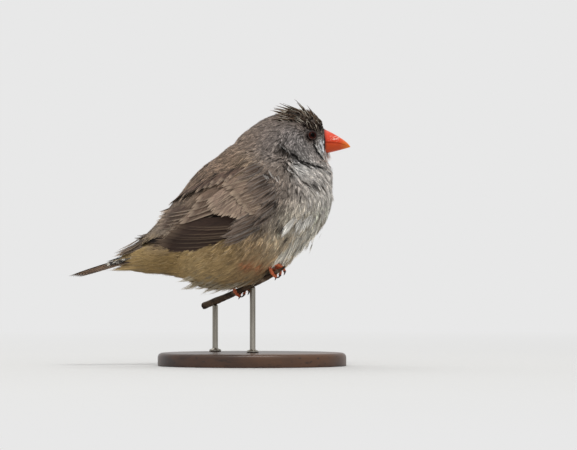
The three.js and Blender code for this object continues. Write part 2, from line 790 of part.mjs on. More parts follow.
function standRod(share) {
  const top = twigCurve.getPointAt(share);
  const foot = base.height + rodGap;
  const rod = new THREE.CylinderGeometry(rodRadius, rodRadius, top.z - foot, 10);
  rod.rotateX(Math.PI / 2).translate(top.x, top.y, (top.z + foot) / 2);
  return solidOf(rod).subtract(twigSolid(rodGap));
}

// Assembly

const finch = new THREE.Group();
const add = (name, solid, material) => finch.add(meshOf(name, solid, material));

const billWhole = billSolid(0);
const billRoom = billSolid(seam);
const eyeY = edgeOfBody((y) => [eye.x, y, eye.z], 0, 20) - eye.sunk;
const eyeSpots = { left: [eye.x, eyeY, eye.z], right: [eye.x, -eyeY, eye.z] };

const head = fineCoat
  .intersect(cutAbove(cheekCut, gap))
  .intersect(cutBelow(crownCut, gap))
  .subtract(billRoom)
  .subtract(ball(eyeSpots.left, eye.radius + seam, 12))
  .subtract(ball(eyeSpots.right, eye.radius + seam, 12));

add('head', head, materials.head);
add('crest', fineCoat.add(crestSpikes()).intersect(cutAbove(crownCut, gap)), materials.crest);
add('bill_upper', billWhole.intersect(billHalf(true)), materials.bill);
add('bill_lower', billWhole.intersect(billHalf(false)), materials.bill);
add('eye_left', ball(eyeSpots.left, eye.radius, 14), materials.eye);
add('eye_right', ball(eyeSpots.right, eye.radius, 14), materials.eye);

const twigRoom = twigSolid(seam);
const rodShares = { rear: 0.14, front: gripShare };
const footRoom = footRoomOf(feet.left).add(footRoomOf(feet.right));
const farPocket = solidOf(mirrored(meshOf('pocket', wingPocket, materials.trunk).geometry));
const pockets = [wingPocket, farPocket];

function cleared(solid) {
  return solid.subtract(pockets[0]).subtract(pockets[1]).subtract(twigRoom).subtract(footRoom);
}

const neck = coat.intersect(cutBelow(cheekCut, gap)).intersect(cutAbove(ruffCut, gap));
const lower = coat.intersect(cutBelow(cheekCut, gap)).intersect(cutBelow(ruffCut, gap));
const thighRoom = joined(Object.values(thighs).map(({ at, half }) => egg(at, half.map((v) => v + seam))));
const tailRoom = tailSolid(seam);
const covertsOverTail = barredCoverts().subtract(tailRoom);
const covertRoom = barredCoverts().add(tailRoom);

add('neck', neck.subtract(pockets[0]).subtract(pockets[1]), materials.neck);
add('trunk', cleared(lower.intersect(cutBelow(rumpCut, gap)).subtract(thighRoom)), materials.trunk);
const rump = cleared(lower.intersect(cutAbove(rumpCut, gap)).subtract(thighRoom));
add('rump', rump.subtract(covertRoom), materials.rump);
for (const [side, { at, half }] of Object.entries(thighs))
  add('thigh_' + side, cleared(lower.intersect(egg(at, half))), materials.thigh);

const wing = wingParts();
for (const [part, solid] of Object.entries(wing)) {
  const trimmed = solid.subtract(covertRoom);
  add('wing_right_' + part, trimmed, materials[part]);
  const twin = mirrored(meshOf('twin', trimmed, materials[part]).geometry);
  add('wing_left_' + part, solidOf(twin), materials[part]);
}

add('tail', tailSolid(0), materials.tail);
const wingTips = joined([wing.secondaries, wing.primaries]);
add('uppertail_coverts', covertsOverTail.subtract(wingTips), materials.barred);

for (const [side, plan] of Object.entries(feet)) {
  let taken = shankSolid(plan, toeGap);
  add('shank_' + side, shankSolid(plan, 0), materials.leg);
  for (const name of Object.keys(toePlans)) {
    const clawRoom = clawSolid(plan, name, seam);
    add(`toe_${side}_${name}`, toeSolid(plan, name, 0).subtract(taken).subtract(clawRoom), materials.leg);
    add(`claw_${side}_${name}`, clawSolid(plan, name, 0), materials.claw);
    taken = taken.add(toeSolid(plan, name, toeGap));
  }
}

add('twig', twigSolid(0), materials.twig);
add('stand_base', standBase(), materials.base);
for (const [end, share] of Object.entries(rodShares))
  add('stand_rod_' + end, standRod(share), materials.rod);

export default finch;
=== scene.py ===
import math
import time

import bmesh
import bpy
import numpy as np
from mathutils import Matrix, Vector
from mathutils.kdtree import KDTree


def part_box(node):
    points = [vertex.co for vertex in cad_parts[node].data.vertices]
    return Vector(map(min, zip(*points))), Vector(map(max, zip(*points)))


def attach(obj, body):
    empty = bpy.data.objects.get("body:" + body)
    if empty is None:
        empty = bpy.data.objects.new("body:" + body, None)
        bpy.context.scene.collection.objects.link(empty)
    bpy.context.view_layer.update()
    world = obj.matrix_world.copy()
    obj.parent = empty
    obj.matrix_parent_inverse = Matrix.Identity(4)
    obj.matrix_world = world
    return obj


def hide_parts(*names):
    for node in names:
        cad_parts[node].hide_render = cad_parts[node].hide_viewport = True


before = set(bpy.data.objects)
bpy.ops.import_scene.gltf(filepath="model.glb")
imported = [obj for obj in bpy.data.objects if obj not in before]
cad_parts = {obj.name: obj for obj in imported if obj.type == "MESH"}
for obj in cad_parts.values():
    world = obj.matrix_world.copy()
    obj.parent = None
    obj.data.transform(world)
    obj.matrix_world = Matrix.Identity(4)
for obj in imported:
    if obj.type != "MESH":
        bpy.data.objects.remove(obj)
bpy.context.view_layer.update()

# Zebra finch hen on a cut twig. All lengths below are in millimetres, meshes are made in metres.

startTime = time.time()
dice = np.random.default_rng(11)
metre = 0.001
bothSides = ((-1, "Right"), (1, "Left"))


def report(stage):
    print(f"{time.time() - startTime:6.1f} s  {stage}")


# Small helpers

def unit(v):
    return v / np.maximum(np.linalg.norm(v, axis=-1, keepdims=True), 1e-9)


def ramp(value, low, high):
    t = np.clip((value - low) / (high - low), 0, 1)
    return t * t * (3 - 2 * t)


def circle(count):
    return np.linspace(0, 2 * math.pi, count, endpoint=False)


def lengthOf(v):
    return np.linalg.norm(v, axis=-1)


def runAlong(line):
    # how far the points of a line lie from its start
    return np.concatenate([[0], np.cumsum(lengthOf(np.diff(line, axis=0)))])


def pathLengths(path):
    return lengthOf(np.diff(path, axis=0)).sum(0)


def linearColour(code):
    channels = [int(code[i:i + 2], 16) / 255 for i in (1, 3, 5)]
    return np.array([c / 12.92 if c <= 0.04045 else ((c + 0.055) / 1.055) ** 2.4 for c in channels])


def rgba(code):
    return (*linearColour(code), 1.0)


def named(fields, row):
    # a row of one of the tables below, as a dictionary
    return dict(zip(fields, row))


def segmentDistance(p, a, b):
    # distance from points p to the segment a to b, in the side plane
    a, b = np.array(a, float), np.array(b, float)
    flat = p[:, [0, 2]]
    t = np.clip((flat - a) @ (b - a) / ((b - a) @ (b - a)), 0, 1)
    return lengthOf(flat - (a + t[:, None] * (b - a)))


def lineDistance(p, line):
    return np.min([segmentDistance(p, a, b) for a, b in zip(line, line[1:])], axis=0)


def insideOutline(p, outline):
    # even-odd test in the side plane
    x, z = p[:, 0], p[:, 2]
    inside = np.zeros(len(p), bool)
    for (ax, az), (bx, bz) in zip(outline, outline[1:] + outline[:1]):
        crosses = (az > z) != (bz > z)
        inside ^= crosses & (x < (bx - ax) * (z - az) / (bz - az + 1e-12) + ax)
    return inside


def meshFrom(name, points, faces, smooth=True):
    mesh = bpy.data.meshes.new(name)
    size = faces.shape[1]
    mesh.vertices.add(len(points))
    mesh.vertices.foreach_set("co", (points * metre).astype(np.float32).ravel())
    mesh.loops.add(faces.size)
    mesh.loops.foreach_set("vertex_index", faces.astype(np.int32).ravel())
    mesh.polygons.add(len(faces))
    mesh.polygons.foreach_set("loop_start", np.arange(0, faces.size, size, dtype=np.int32))
    mesh.update(calc_edges=True)
    mesh.polygons.foreach_set("use_smooth", np.full(len(faces), smooth))
    return mesh


def meshPoints(mesh):
    points = np.empty(len(mesh.vertices) * 3)
    mesh.vertices.foreach_get("co", points)
    return points.reshape(-1, 3)


def meshCorners(mesh):
    corners = np.empty(len(mesh.loops), np.int32)
    mesh.loops.foreach_get("vertex_index", corners)
    return corners


def addAttribute(mesh, name, values):
    values = np.asarray(values, np.float32)
    if values.ndim == 1:
        mesh.attributes.new(name, "FLOAT", "POINT").data.foreach_set("value", values)
    else:
        mesh.attributes.new(name, "FLOAT_VECTOR", "POINT").data.foreach_set("vector", values.ravel())


def newObject(name, data):
    made = bpy.data.objects.new(name, data)
    bpy.context.scene.collection.objects.link(made)
    return made


def addPiece(name, mesh, material, replaces=()):
    piece = newObject(name, mesh)
    mesh.materials.append(material)
    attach(piece, "root")
    if replaces:
        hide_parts(*replaces)
    return piece


# Shape of the plumage, to the tips of the coat: soft masses as in the CAD model.
# at is the middle, half the half lengths, tilt a turn about Y. Masses off the middle come in pairs.

def mass(at, half, tilt):
    return {"at": at, "half": half, "tilt": math.radians(tilt)}


bodyShape = {
    "head": [
        mass((12.6, 0, 78.6), (11.6, 9.7, 9.9), -8),
        mass((18.6, 0, 80.2), (7.3, 6.6, 6.9), -30),
        mass((20.2, 0, 76.6), (6.1, 6, 6.9), 0),
        mass((15.2, 3.4, 74.8), (8.4, 6.7, 6.2), -18),
        mass((2.8, 0, 75.2), (10.2, 9.5, 8.3), 24),
    ],
    "neck": [
        mass((17.7, 0, 68.6), (9.9, 8.3, 6.6), -14),
        mass((8.4, 0, 66.6), (18.4, 15.2, 8.6), -14),
        mass((-2.4, 0, 69.2), (11.2, 11.6, 8.5), 28),
    ],
    "trunk": [
        mass((9.4, 0, 56.6), (18.9, 18.4, 15), 18),
        mass((-4.8, 0, 46.8), (21.4, 20, 18.2), 28),
        mass((7.6, 0, 47.6), (13.6, 14.6, 11), 44),
        mass((-7, 9, 50), (17, 11.4, 14), 34),
        mass((-9, 0, 60), (15, 15.6, 12.5), 41),
        mass((-23.8, 0, 47.6), (15, 10.6, 8.4), 41),
        mass((-15, 0, 38.6), (9.6, 12.4, 10.6), 20),
        mass((-34.2, 0, 38.6), (12.4, 6.2, 5.4), 10),
    ],
    "blend": {"head": 5, "neck": 6, "trunk": 8.0},
    "cheekFold": 0.7,
    "ruffFold": 2.2,
}
# x, z, reach along x and z, depth: where the coat lies deeper and only loose tufts reach its outline
hollows = [(19, 39.5, 6.5, 5.5, 2), (25.2, 84.8, 1.6, 2, 0.5), (-14, 27.5, 9, 3, 0.8),
           (26.2, 77.2, 1.5, 3.4, 1.1)]


def massField(p, m):
    dx, dz = p[..., 0] - m["at"][0], p[..., 2] - m["at"][2]
    c, s = math.cos(m["tilt"]), math.sin(m["tilt"])
    local = np.stack([dx * c + dz * s, np.abs(p[..., 1]) - m["at"][1], dz * c - dx * s], -1)
    half = np.array(m["half"])
    near = lengthOf(local / half)
    slope = lengthOf(local / half ** 2)
    return near * (near - 1) / np.maximum(slope, 1e-6)


def softMin(a, b, blend):
    h = np.maximum(blend - np.abs(a - b), 0) / blend
    return np.minimum(a, b) - h * h * blend / 4


def blended(p, part):
    total = None
    for m in bodyShape[part]:
        d = massField(p, m)
        total = d if total is None else softMin(total, d, bodyShape["blend"][part])
    return total


def coatField(p):
    # distance over the tips of the coat: below zero inside it
    body = softMin(blended(p, "neck"), blended(p, "trunk"), bodyShape["ruffFold"])
    whole = softMin(body, blended(p, "head"), bodyShape["cheekFold"])
    for x, z, reachX, reachZ, depth in hollows:
        whole = whole + depth * np.exp(-((p[..., 0] - x) / reachX) ** 2 - ((p[..., 2] - z) / reachZ) ** 2)
    return whole


def coatSlope(p, step=0.05):
    slope = np.empty(p.shape)
    for k in range(3):
        shift = np.zeros(3)
        shift[k] = step
        slope[..., k] = (coatField(p + shift) - coatField(p - shift)) / (2 * step)
    return slope


def settle(p, level, rounds=2, limit=1.5):
    # moves points onto the surface that lies level over the coat, and gives their normals too
    for _ in range(rounds):
        slope = coatSlope(p)
        size = np.maximum((slope ** 2).sum(-1), 0.2)
        move = np.clip((coatField(p) - level) / size, -limit, limit)
        p = p - slope * move[..., None]
    return p, unit(coatSlope(p))


def sideSpot(x, z, level, side):
    # the outermost point of the coat at x, z on one side
    y = np.linspace(0.2, 26, 70)
    p = np.stack(np.broadcast_arrays(x[:, None], y[None, :], z[:, None]), -1)
    inside = coatField(p) < level
    last = np.where(inside.any(1), inside.shape[1] - 1 - np.argmax(inside[:, ::-1], 1), 2)
    spot = np.stack([x, y[last], z], -1)
    for _ in range(4):
        slope = coatSlope(spot)
        pull = np.clip((coatField(spot) - level) / np.maximum(slope[:, 1], 0.35), -0.6, 0.6)
        spot[:, 1] -= np.where(inside.any(1), pull, 0)
    spot[:, 1] *= side
    return spot, unit(coatSlope(spot))


# Places of the plumage in the side view.
# x, z, reach, lie (degrees from +X to +Z), length, width, spacing, lift, loose, depth, colour, piece
placeFields = ("x", "z", "reach", "lie", "length", "width", "spacing", "lift", "loose", "depth")
places = {
    "forehead": (24, 83.6, 2.2, 118, 1.7, 0.6, 0.42, 0.15, 0.3, 0.8, "#5c4d43", "Face"),
    "lore": (24, 78.3, 2, 215, 1.2, 0.5, 0.40, 0.10, 0.2, 0.6, "#aea69f", "Face"),
    "chin": (24.8, 72.6, 2, 288, 3, 0.8, 0.46, 1.00, 0.8, 0.9, "#c6bab2", "Face"),
    "malar": (20.8, 74, 2.4, 303, 2, 0.7, 0.46, 0.12, 0.3, 1, "#8f8884", "Face"),
    "brow": (19.6, 83.6, 2, 135, 1.9, 0.6, 0.44, 0.12, 0.2, 0.9, "#7b7069", "Face"),
    "cheek": (16.6, 75.6, 3, 296, 2.5, 0.8, 0.52, 0.12, 0.3, 1.4, "#8b8582", "Cheek"),
    "ear": (12.4, 79, 3, 268, 2.5, 0.8, 0.54, 0.10, 0.3, 1.4, "#948d8a", "Cheek"),
    "crown": (14.5, 87, 3, 165, 3, 1, 0.60, 0.35, 0.5, 1.3, "#6a5d54", "Crown"),
    "hindcrown": (5.5, 85.5, 3.6, 190, 3.4, 1.2, 0.66, 0.30, 0.5, 1.5, "#7d6f65", "Crown"),
    "temple": (7, 80.8, 3.2, 222, 3, 1.1, 0.64, 0.15, 0.4, 1.6, "#8a807a", "Crown"),
    "nape": (-3, 79, 3.8, 224, 4.4, 1.5, 0.76, 0.25, 0.5, 2, "#8e7d70", "Crown"),
    "neckSide": (5.5, 73.5, 3.6, 232, 4.2, 1.6, 0.80, 0.25, 0.5, 2.2, "#948a84", "Neck"),
    "throat": (24.5, 68, 3, 306, 3.6, 1.3, 0.72, 0.35, 0.5, 1.8, "#dcd6d0", "Neck"),
    "underFold": (17.5, 69, 2.6, 330, 3.8, 1.4, 0.74, 0.25, 0.4, 2.2, "#dcdad6", "Neck"),
    "ruff": (9.5, 69, 3.2, 244, 4, 1.4, 0.78, 0.35, 0.6, 2.4, "#988a7e", "Neck"),
    "ruffFront": (22.5, 64, 3.2, 306, 4.8, 1.7, 0.84, 0.45, 0.6, 2.4, "#c8c1ba", "Neck"),
    "neckLow": (3, 65.5, 3.8, 234, 5, 1.8, 0.88, 0.40, 0.6, 2.6, "#8d7d71", "Neck"),
    "shoulder": (-2, 67.5, 4, 226, 5.2, 1.9, 0.90, 0.30, 0.5, 2.2, "#86745f", "Mantle"),
    "cowlick": (2, 59.5, 3.2, 312, 5.2, 2, 0.92, 0.40, 0.6, 2.8, "#7c675a", "Breast"),
    "breastFront": (26, 56.5, 4.2, 276, 6.5, 2.3, 0.98, 0.50, 0.7, 3.2, "#dcd6ce", "Breast"),
    "breast": (17, 59, 4, 258, 6.2, 2.3, 0.98, 0.50, 0.7, 3.2, "#a59c94", "Breast"),
    "breastSide": (10.5, 59.5, 3.6, 229, 6, 2.2, 0.98, 0.55, 0.7, 3, "#83766b", "Breast"),
    "side": (6, 51, 3.8, 252, 6.5, 2.4, 0.98, 0.35, 0.5, 3, "#6b5f54", "Breast"),
    "wingFront": (-1.5, 49, 3.6, 226, 6.5, 2.3, 0.98, 0.3, 0.5, 2.6, "#6f6155", "Breast"),
    "lowBreastFront": (22.5, 48, 4.2, 252, 8.6, 3, 1.05, 0.75, 0.9, 3.4, "#e4dac8", "Breast"),
    "lowBreast": (14, 47, 4, 242, 8.6, 3, 1.05, 0.75, 0.9, 3.4, "#d3c9b7", "Breast"),
    "belly": (11, 39, 4.2, 234, 9.5, 3, 1.05, 0.80, 1, 3.4, "#cbb799", "Belly"),
    "bellySide": (0, 37, 4, 224, 8, 2.7, 1.02, 0.50, 0.8, 3.2, "#9f8664", "Belly"),
    "bellyUnder": (0, 30.5, 4, 218, 7.5, 2.6, 1.02, 0.90, 1, 3, "#a4875f", "Belly"),
    "flank": (-13, 36.5, 4.2, 212, 8.5, 2.7, 1.02, 0.45, 0.8, 2.8, "#a2885f", "Flank"),
    "vent": (-19, 31.5, 4, 212, 7, 2.4, 0.96, 0.95, 1, 2.4, "#ad9468", "Flank"),
    "undertail": (-33, 34.5, 4.5, 186, 8, 2.3, 0.94, 0.20, 0.6, 1.6, "#9d8254", "Rump"),
    "mantle": (-10, 71.5, 4.2, 226, 5.5, 1.9, 0.92, 0.30, 0.6, 2, "#947e6b", "Mantle"),
    "back": (-19.5, 64.5, 4.2, 224, 6, 1.9, 0.92, 0.25, 0.5, 1.8, "#86705e", "Mantle"),
    "scapular": (-12, 64, 4, 220, 7, 1.7, 0.90, 0.30, 0.6, 1.6, "#87705f", "Mantle"),
    "lowBack": (-28, 55.5, 4.2, 222, 6.5, 2, 0.94, 0.20, 0.5, 1.6, "#7a695a", "Rump"),
    "rump": (-36, 46, 4, 205, 6.5, 2, 0.94, 0.20, 0.5, 1.4, "#8a7d70", "Rump"),
    "tailRoot": (-41, 38.5, 4, 190, 6, 1.9, 0.92, 0.20, 0.5, 1.2, "#a48a5b", "Rump"),
}
placeValues = {field: np.array([row[i] for row in places.values()]) for i, field in enumerate(placeFields)}
placeColours = np.array([linearColour(row[10]) for row in places.values()])
placePiece = np.array([row[11] for row in places.values()])


def placeWeights(p):
    dx = p[:, :1] - placeValues["x"]
    dz = p[:, 2:] - placeValues["z"]
    far = (dx ** 2 + dz ** 2) / (2 * placeValues["reach"] ** 2)
    weights = np.exp(-np.minimum(far - far.min(1, keepdims=True), 60))
    return weights / weights.sum(1, keepdims=True)


def placeValue(weights, field):
    return weights @ placeValues[field]


billBase = {"x": 24.6, "culmen": 83.2, "gape": 78.3, "gonys": 74.0, "halfWidth": 3.7}
billTip = {"x": 34.4, "z": 76.6}


def lieAt(p, normal):
    # which way the feathers point: the places' lie, and away from the bill close to it
    weights = placeWeights(p)
    turn = np.radians(placeValues["lie"])
    flow = np.stack([weights @ np.cos(turn), np.zeros(len(p)), weights @ np.sin(turn)], -1)
    fromBill = p - np.array([25.2, 0, 78.4])
    near = np.exp(-(lengthOf(fromBill) / 6.5) ** 2)[:, None]
    flow = flow * (1 - near) + unit(fromBill) * near
    wave = 0.07 * np.sin(p[:, 0] * 0.55 + p[:, 2] * 0.31) + 0.07 * np.sin(p[:, 2] * 0.8 - p[:, 1] * 0.45)
    flow = flow - normal * (flow * normal).sum(-1, keepdims=True)
    return unit(flow + np.cross(normal, flow) * wave[:, None])


# Markings over the places' colours: a line in the side view, reach, colour and share
cheekFold = [(10, 76.8), (12.2, 74.9), (15.6, 73.1), (17.9, 71), (20.5, 70.1), (23.5, 69.3),
             (26, 68.1)]
ruffFold = [(10.8, 69.4), (12.6, 68), (14.8, 66.6)]
markings = {
    "loreMask": ([(24.3, 78.2), (24.3, 76.2), (24.2, 74.4)], 1.05, "#f3f4f4", 0.95),
    "loreTop": ([(20.8, 83.2), (24, 82.6)], 1.3, "#3f332c", 0.75),
    "tear": ([(21.4, 78.6), (22.2, 75.8), (24.4, 72.4)], 0.55, "#1a1716", 0.75),
    "tearEdge": ([(22.9, 75.2), (24.8, 73)], 0.25, "#ece7de", 0.9),
    "billEdge": ([(25.5, 79.8), (25.3, 77.5), (25, 74.6)], 0.42, "#0d0908", 0.97),
    # the cheekFold and ruffFold marks are painted shade: dark colour in the creases under the cheek and in
    # the ruff
    "cheekFold": (cheekFold, 0.62, "#110d0b", 0.95),
    "ruffFold": (ruffFold, 0.8, "#251c18", 0.8),
    "eyeShade": ([(19.4, 82.2), (22, 82.4)], 1.1, "#3b322e", 0.6),
    # the gap marks below are painted shade: dark colour in the gaps between locks, where foldLift also
    # sinks the coat
    "breastShadeGap": ([(21.6, 62.8), (23.6, 60.6)], 0.8, "#2b2624", 0.75),
    "breastShadeGapLow": ([(24.6, 62.2), (25.6, 60.2)], 0.5, "#2b2624", 0.7),
    "throatShadeGap": ([(17.8, 63.8), (20.2, 62.2)], 0.5, "#3a322d", 0.6),
    "flickShadeGap": ([(8.4, 47.4), (10.4, 45.6)], 0.9, "#2a221e", 0.8),
    "partShadeGap": ([(6.4, 57.2), (8, 55.6)], 0.6, "#2f2723", 0.75),
    "ruffShadeGap": ([(5, 66.6), (9, 64.6)], 0.5, "#332a26", 0.6),
    "shankShine": ([(-4, 34.6), (2, 33)], 0.95, "#b5532a", 0.7),
    # painted shade in the gap under the scapulars
    "mantleShadeGap": ([(-17, 63), (-21, 59.4)], 0.8, "#231b17", 0.7),
}

foldSpec = {"reach": 0.9, "above": 0.45, "below": -0.55, "gap": 0.9}


def markShare(p, mark):
    line, reach, _, share = mark
    aside = ramp(np.abs(p[:, 1]), 1.5, 3.5)
    return share * np.exp(-(lineDistance(p, line) / reach) ** 2) * aside


def plumageAt(p):
    colour = placeWeights(p) @ placeColours
    for mark in markings.values():
        colour = colour + (linearColour(mark[2]) - colour) * markShare(p, mark)[:, None]
    return colour


def foldLift(p, roots):
    # the cheek stands over the neck along its fold, and the coat sinks along the fold and gap marks, whose
    # dark colour is painted shade
    line = np.array(cheekFold)
    above = roots[:, 2] > np.interp(roots[:, 0], line[:, 0], line[:, 1])
    aside = ramp(np.abs(p[:, 1]), 2.0, 4.5)
    fold = np.exp(-(lineDistance(p, cheekFold) / foldSpec["reach"]) ** 2) * aside
    lift = np.where(above, foldSpec["above"], foldSpec["below"]) * fold
    for name, mark in markings.items():
        if name.endswith("Gap") or name in ("ruffFold", "breastShadeGapLow"):
            lift -= foldSpec["gap"] * markShare(p, mark)
    return lift


# Skin: the masses joined, remeshed and settled under the coat

# dim darkens the skin below the plumage colour: partly the grey down, partly painted shade deep under the
# coat
skinSettings = {"voxel": 0.62, "sink": 0.85, "dim": (0.42, 0.4, 0.38, 1)}


def bodyMesh(voxel):
    shapes = bmesh.new()
    for part in ("head", "neck", "trunk"):
        for m in bodyShape[part]:
            for side in ((1,) if m["at"][1] == 0 else (1, -1)):
                at = Matrix.Translation((m["at"][0], m["at"][1] * side, m["at"][2]))
                turn = Matrix.Rotation(-m["tilt"], 4, "Y")
                bmesh.ops.create_icosphere(shapes, subdivisions=4, radius=1,
                                           matrix=at @ turn @ Matrix.Diagonal((*m["half"], 1)))
    rough = bpy.data.meshes.new("rough")
    shapes.to_mesh(rough)
    shapes.free()
    scratch = newObject("rough", rough)
    voxels = scratch.modifiers.new("voxels", "REMESH")
    voxels.mode = "VOXEL"
    voxels.voxel_size = voxel
    shown = scratch.evaluated_get(bpy.context.evaluated_depsgraph_get())
    mesh = shown.to_mesh()
    points, faces = meshPoints(mesh), meshCorners(mesh).reshape(-1, 4)
    shown.to_mesh_clear()
    bpy.data.objects.remove(scratch)
    bpy.data.meshes.remove(rough)
    return points, faces


def relaxed(points, faces, rounds):
    # evens out a mesh: each corner moves half way to the middle of its neighbours
    edges = np.concatenate([faces[:, [k, (k + 1) % 4]] for k in range(4)])
    count = sum(np.bincount(edges[:, k], minlength=len(points)) for k in (0, 1))
    for _ in range(rounds):
        total = np.empty_like(points)
        for k in range(3):
            total[:, k] = (np.bincount(edges[:, 0], points[edges[:, 1], k], len(points))
                           + np.bincount(edges[:, 1], points[edges[:, 0], k], len(points)))
        points = points + 0.5 * (total / count[:, None] - points)
    return points


bodyPoints, bodyFaces = bodyMesh(skinSettings["voxel"])
bodyPoints = relaxed(bodyPoints, bodyFaces, 2)
bodyPoints, _ = settle(bodyPoints, 0.0, rounds=4)
report(f"body surface, {len(bodyFaces)} faces")


# Shader groups

def newGroup(name, inputs, outputs):
    group = bpy.data.node_groups.new(name, "ShaderNodeTree")
    for label, kind, value in inputs:
        socket = group.interface.new_socket(label, in_out="INPUT", socket_type=kind)
        socket.default_value = value
    for label, kind in outputs:
        group.interface.new_socket(label, in_out="OUTPUT", socket_type=kind)
    return group, group.nodes.new("NodeGroupInput").outputs, group.nodes.new("NodeGroupOutput").inputs


def feed(tree, node, values):
    # links the sockets among the values and sets the others
    for key, value in values.items():
        if isinstance(value, bpy.types.NodeSocket):
            tree.links.new(value, node.inputs[key])
        else:
            node.inputs[key].default_value = value
    return node


def addNode(tree, kind, values=None, **settings):
    node = tree.nodes.new(kind)
    for key, value in settings.items():
        setattr(node, key, value)
    return feed(tree, node, values or {})


def maths(tree, operation, a, b=0.0, clamp=False):
    node = addNode(tree, "ShaderNodeMath", {0: a, 1: b}, operation=operation, use_clamp=clamp)
    return node.outputs[0]


def vectorMaths(tree, operation, values):
    return addNode(tree, "ShaderNodeVectorMath", values, operation=operation).outputs


def plus(tree, a, b):
    return maths(tree, "ADD", a, b)


def minus(tree, a, b):
    return maths(tree, "SUBTRACT", a, b)


def times(tree, a, b):
    return maths(tree, "MULTIPLY", a, b)


def mixColour(tree, share, a, b, blend="MIX"):
    node = addNode(tree, "ShaderNodeMix", data_type="RGBA", blend_type=blend)
    return feed(tree, node, {0: share, 6: a, 7: b}).outputs[2]


def tinted(tree, share, colour, code):
    return mixColour(tree, share, colour, rgba(code))


def spread(tree, value, low, high, toLow=0.0, toHigh=1.0):
    node = addNode(tree, "ShaderNodeMapRange", {0: value, 1: low, 2: high, 3: toLow, 4: toHigh})
    return node.outputs[0]


def twoTone(tree, value, low, high, first, second):
    # one colour turns into another while value goes from low to high
    return mixColour(tree, spread(tree, value, low, high), rgba(first), rgba(second))


def band(tree, value, rise, fall):
    # 1 between the two edges where it comes in and goes out
    return times(tree, spread(tree, value, *rise), spread(tree, value, *fall, 1.0, 0.0))


def objectPlace(tree):
    return addNode(tree, "ShaderNodeTexCoord").outputs["Object"]


def readAttribute(tree, name, output):
    return addNode(tree, "ShaderNodeAttribute", attribute_name=name).outputs[output]


def splitXyz(tree, vector):
    return addNode(tree, "ShaderNodeSeparateXYZ", {0: vector}).outputs


def greyOf(tree, level):
    return addNode(tree, "ShaderNodeCombineColor", {0: level, 1: level, 2: level}).outputs[0]


def noiseValue(tree, scale, detail=2.0, stretch=None):
    where = objectPlace(tree)
    if stretch is not None:
        where = addNode(tree, "ShaderNodeMapping", {"Vector": where, "Scale": stretch}).outputs[0]
    values = {"Vector": where, "Scale": scale, "Detail": detail}
    return addNode(tree, "ShaderNodeTexNoise", values).outputs[0]


def makeBarbTone():
    # each barb a little lighter or darker, dark at the root, pale at the fringe; the darkening towards the
    # root is partly the grey down and partly painted shade of the deeper parts
    values = {"Along": 0.5, "Across": 0.5, "Barb": 0.5, "Lock": 0.5, "Streak": 0.3, "Root Shade": 0.5,
              "Fringe": 0.3, "Fringe Start": 0.45}
    colours = {"Tint": (0.5, 0.5, 0.5, 1), "Fringe Colour": (0.6, 0.5, 0.4, 1)}
    sockets = [(label, "NodeSocketColor", value) for label, value in colours.items()]
    sockets += [(label, "NodeSocketFloat", value) for label, value in values.items()]
    group, given, out = newGroup("barbTone", sockets, [("Colour", "NodeSocketColor")])
    swing = times(group, minus(group, given["Barb"], 0.5), given["Streak"])
    swing = plus(group, swing, times(group, minus(group, given["Lock"], 0.5), 0.22))
    level = maths(group, "MAXIMUM", plus(group, 1.0, swing), 0.12)
    level = times(group, level, spread(group, given["Along"], 0.3, 1.0, 0.85, 1.2))
    rootward = minus(group, 1.0, spread(group, given["Along"], 0.15, 0.62))
    level = times(group, level, minus(group, 1.0, times(group, rootward, given["Root Shade"])))
    toned = mixColour(group, 1.0, given["Tint"], greyOf(group, level), "MULTIPLY")
    side = spread(group, given["Across"], given["Fringe Start"], plus(group, given["Fringe Start"], 0.3))
    edge = maths(group, "MAXIMUM", spread(group, given["Along"], 0.86, 1.0), side)
    edge = maths(group, "MULTIPLY", edge, given["Fringe"], clamp=True)
    group.links.new(mixColour(group, edge, toned, given["Fringe Colour"]), out["Colour"])
    return group


def makeMottle():
    # soft blotches over a colour
    group, given, out = newGroup("mottle", [
        ("Colour", "NodeSocketColor", (0.5, 0.5, 0.5, 1)),
        ("Scale", "NodeSocketFloat", 400.0),
        ("Amount", "NodeSocketFloat", 0.2),
    ], [("Colour", "NodeSocketColor"), ("Blotch", "NodeSocketFloat")])
    blotch = noiseValue(group, given["Scale"], 3.0)
    level = plus(group, 1.0, times(group, minus(group, blotch, 0.5), given["Amount"]))
    group.links.new(mixColour(group, 1.0, given["Colour"], greyOf(group, level), "MULTIPLY"), out["Colour"])
    group.links.new(blotch, out["Blotch"])
    return group


def makeGrain():
    # fine relief, stretched along one axis if asked
    group, given, out = newGroup("grain", [
        ("Scale", "NodeSocketFloat", 1500.0),
        ("Stretch", "NodeSocketVector", (1, 1, 1)),
    ], [("Height", "NodeSocketFloat")])
    height = noiseValue(group, given["Scale"], 4.0, stretch=given["Stretch"])
    group.links.new(height, out["Height"])
    return group


barbTone, mottle, grain = makeBarbTone(), makeMottle(), makeGrain()


def useGroup(tree, group, values):
    return addNode(tree, "ShaderNodeGroup", values, node_tree=group).outputs


def newMaterial(name, **constants):
    material = bpy.data.materials.new(name)
    material.use_nodes = True
    tree = material.node_tree
    shader = tree.nodes["Principled BSDF"]
    for key, value in constants.items():
        shader.inputs[key.replace("_", " ")].default_value = value
    return material, tree, shader


def finishMaterial(tree, shader, colour, rough, relief=None, strength=0.0, distance=0.0):
    # the relief is a bump of this strength and depth in millimetres
    tree.links.new(colour, shader.inputs["Base Color"])
    tree.links.new(rough, shader.inputs["Roughness"])
    if relief is not None:
        values = {"Strength": strength, "Distance": distance * metre, "Height": relief}
        bump = addNode(tree, "ShaderNodeBump", values)
        tree.links.new(bump.outputs[0], shader.inputs["Normal"])


def grained(tree, scale, stretch=(1, 1, 1)):
    return useGroup(tree, grain, {"Scale": scale, "Stretch": stretch})["Height"]


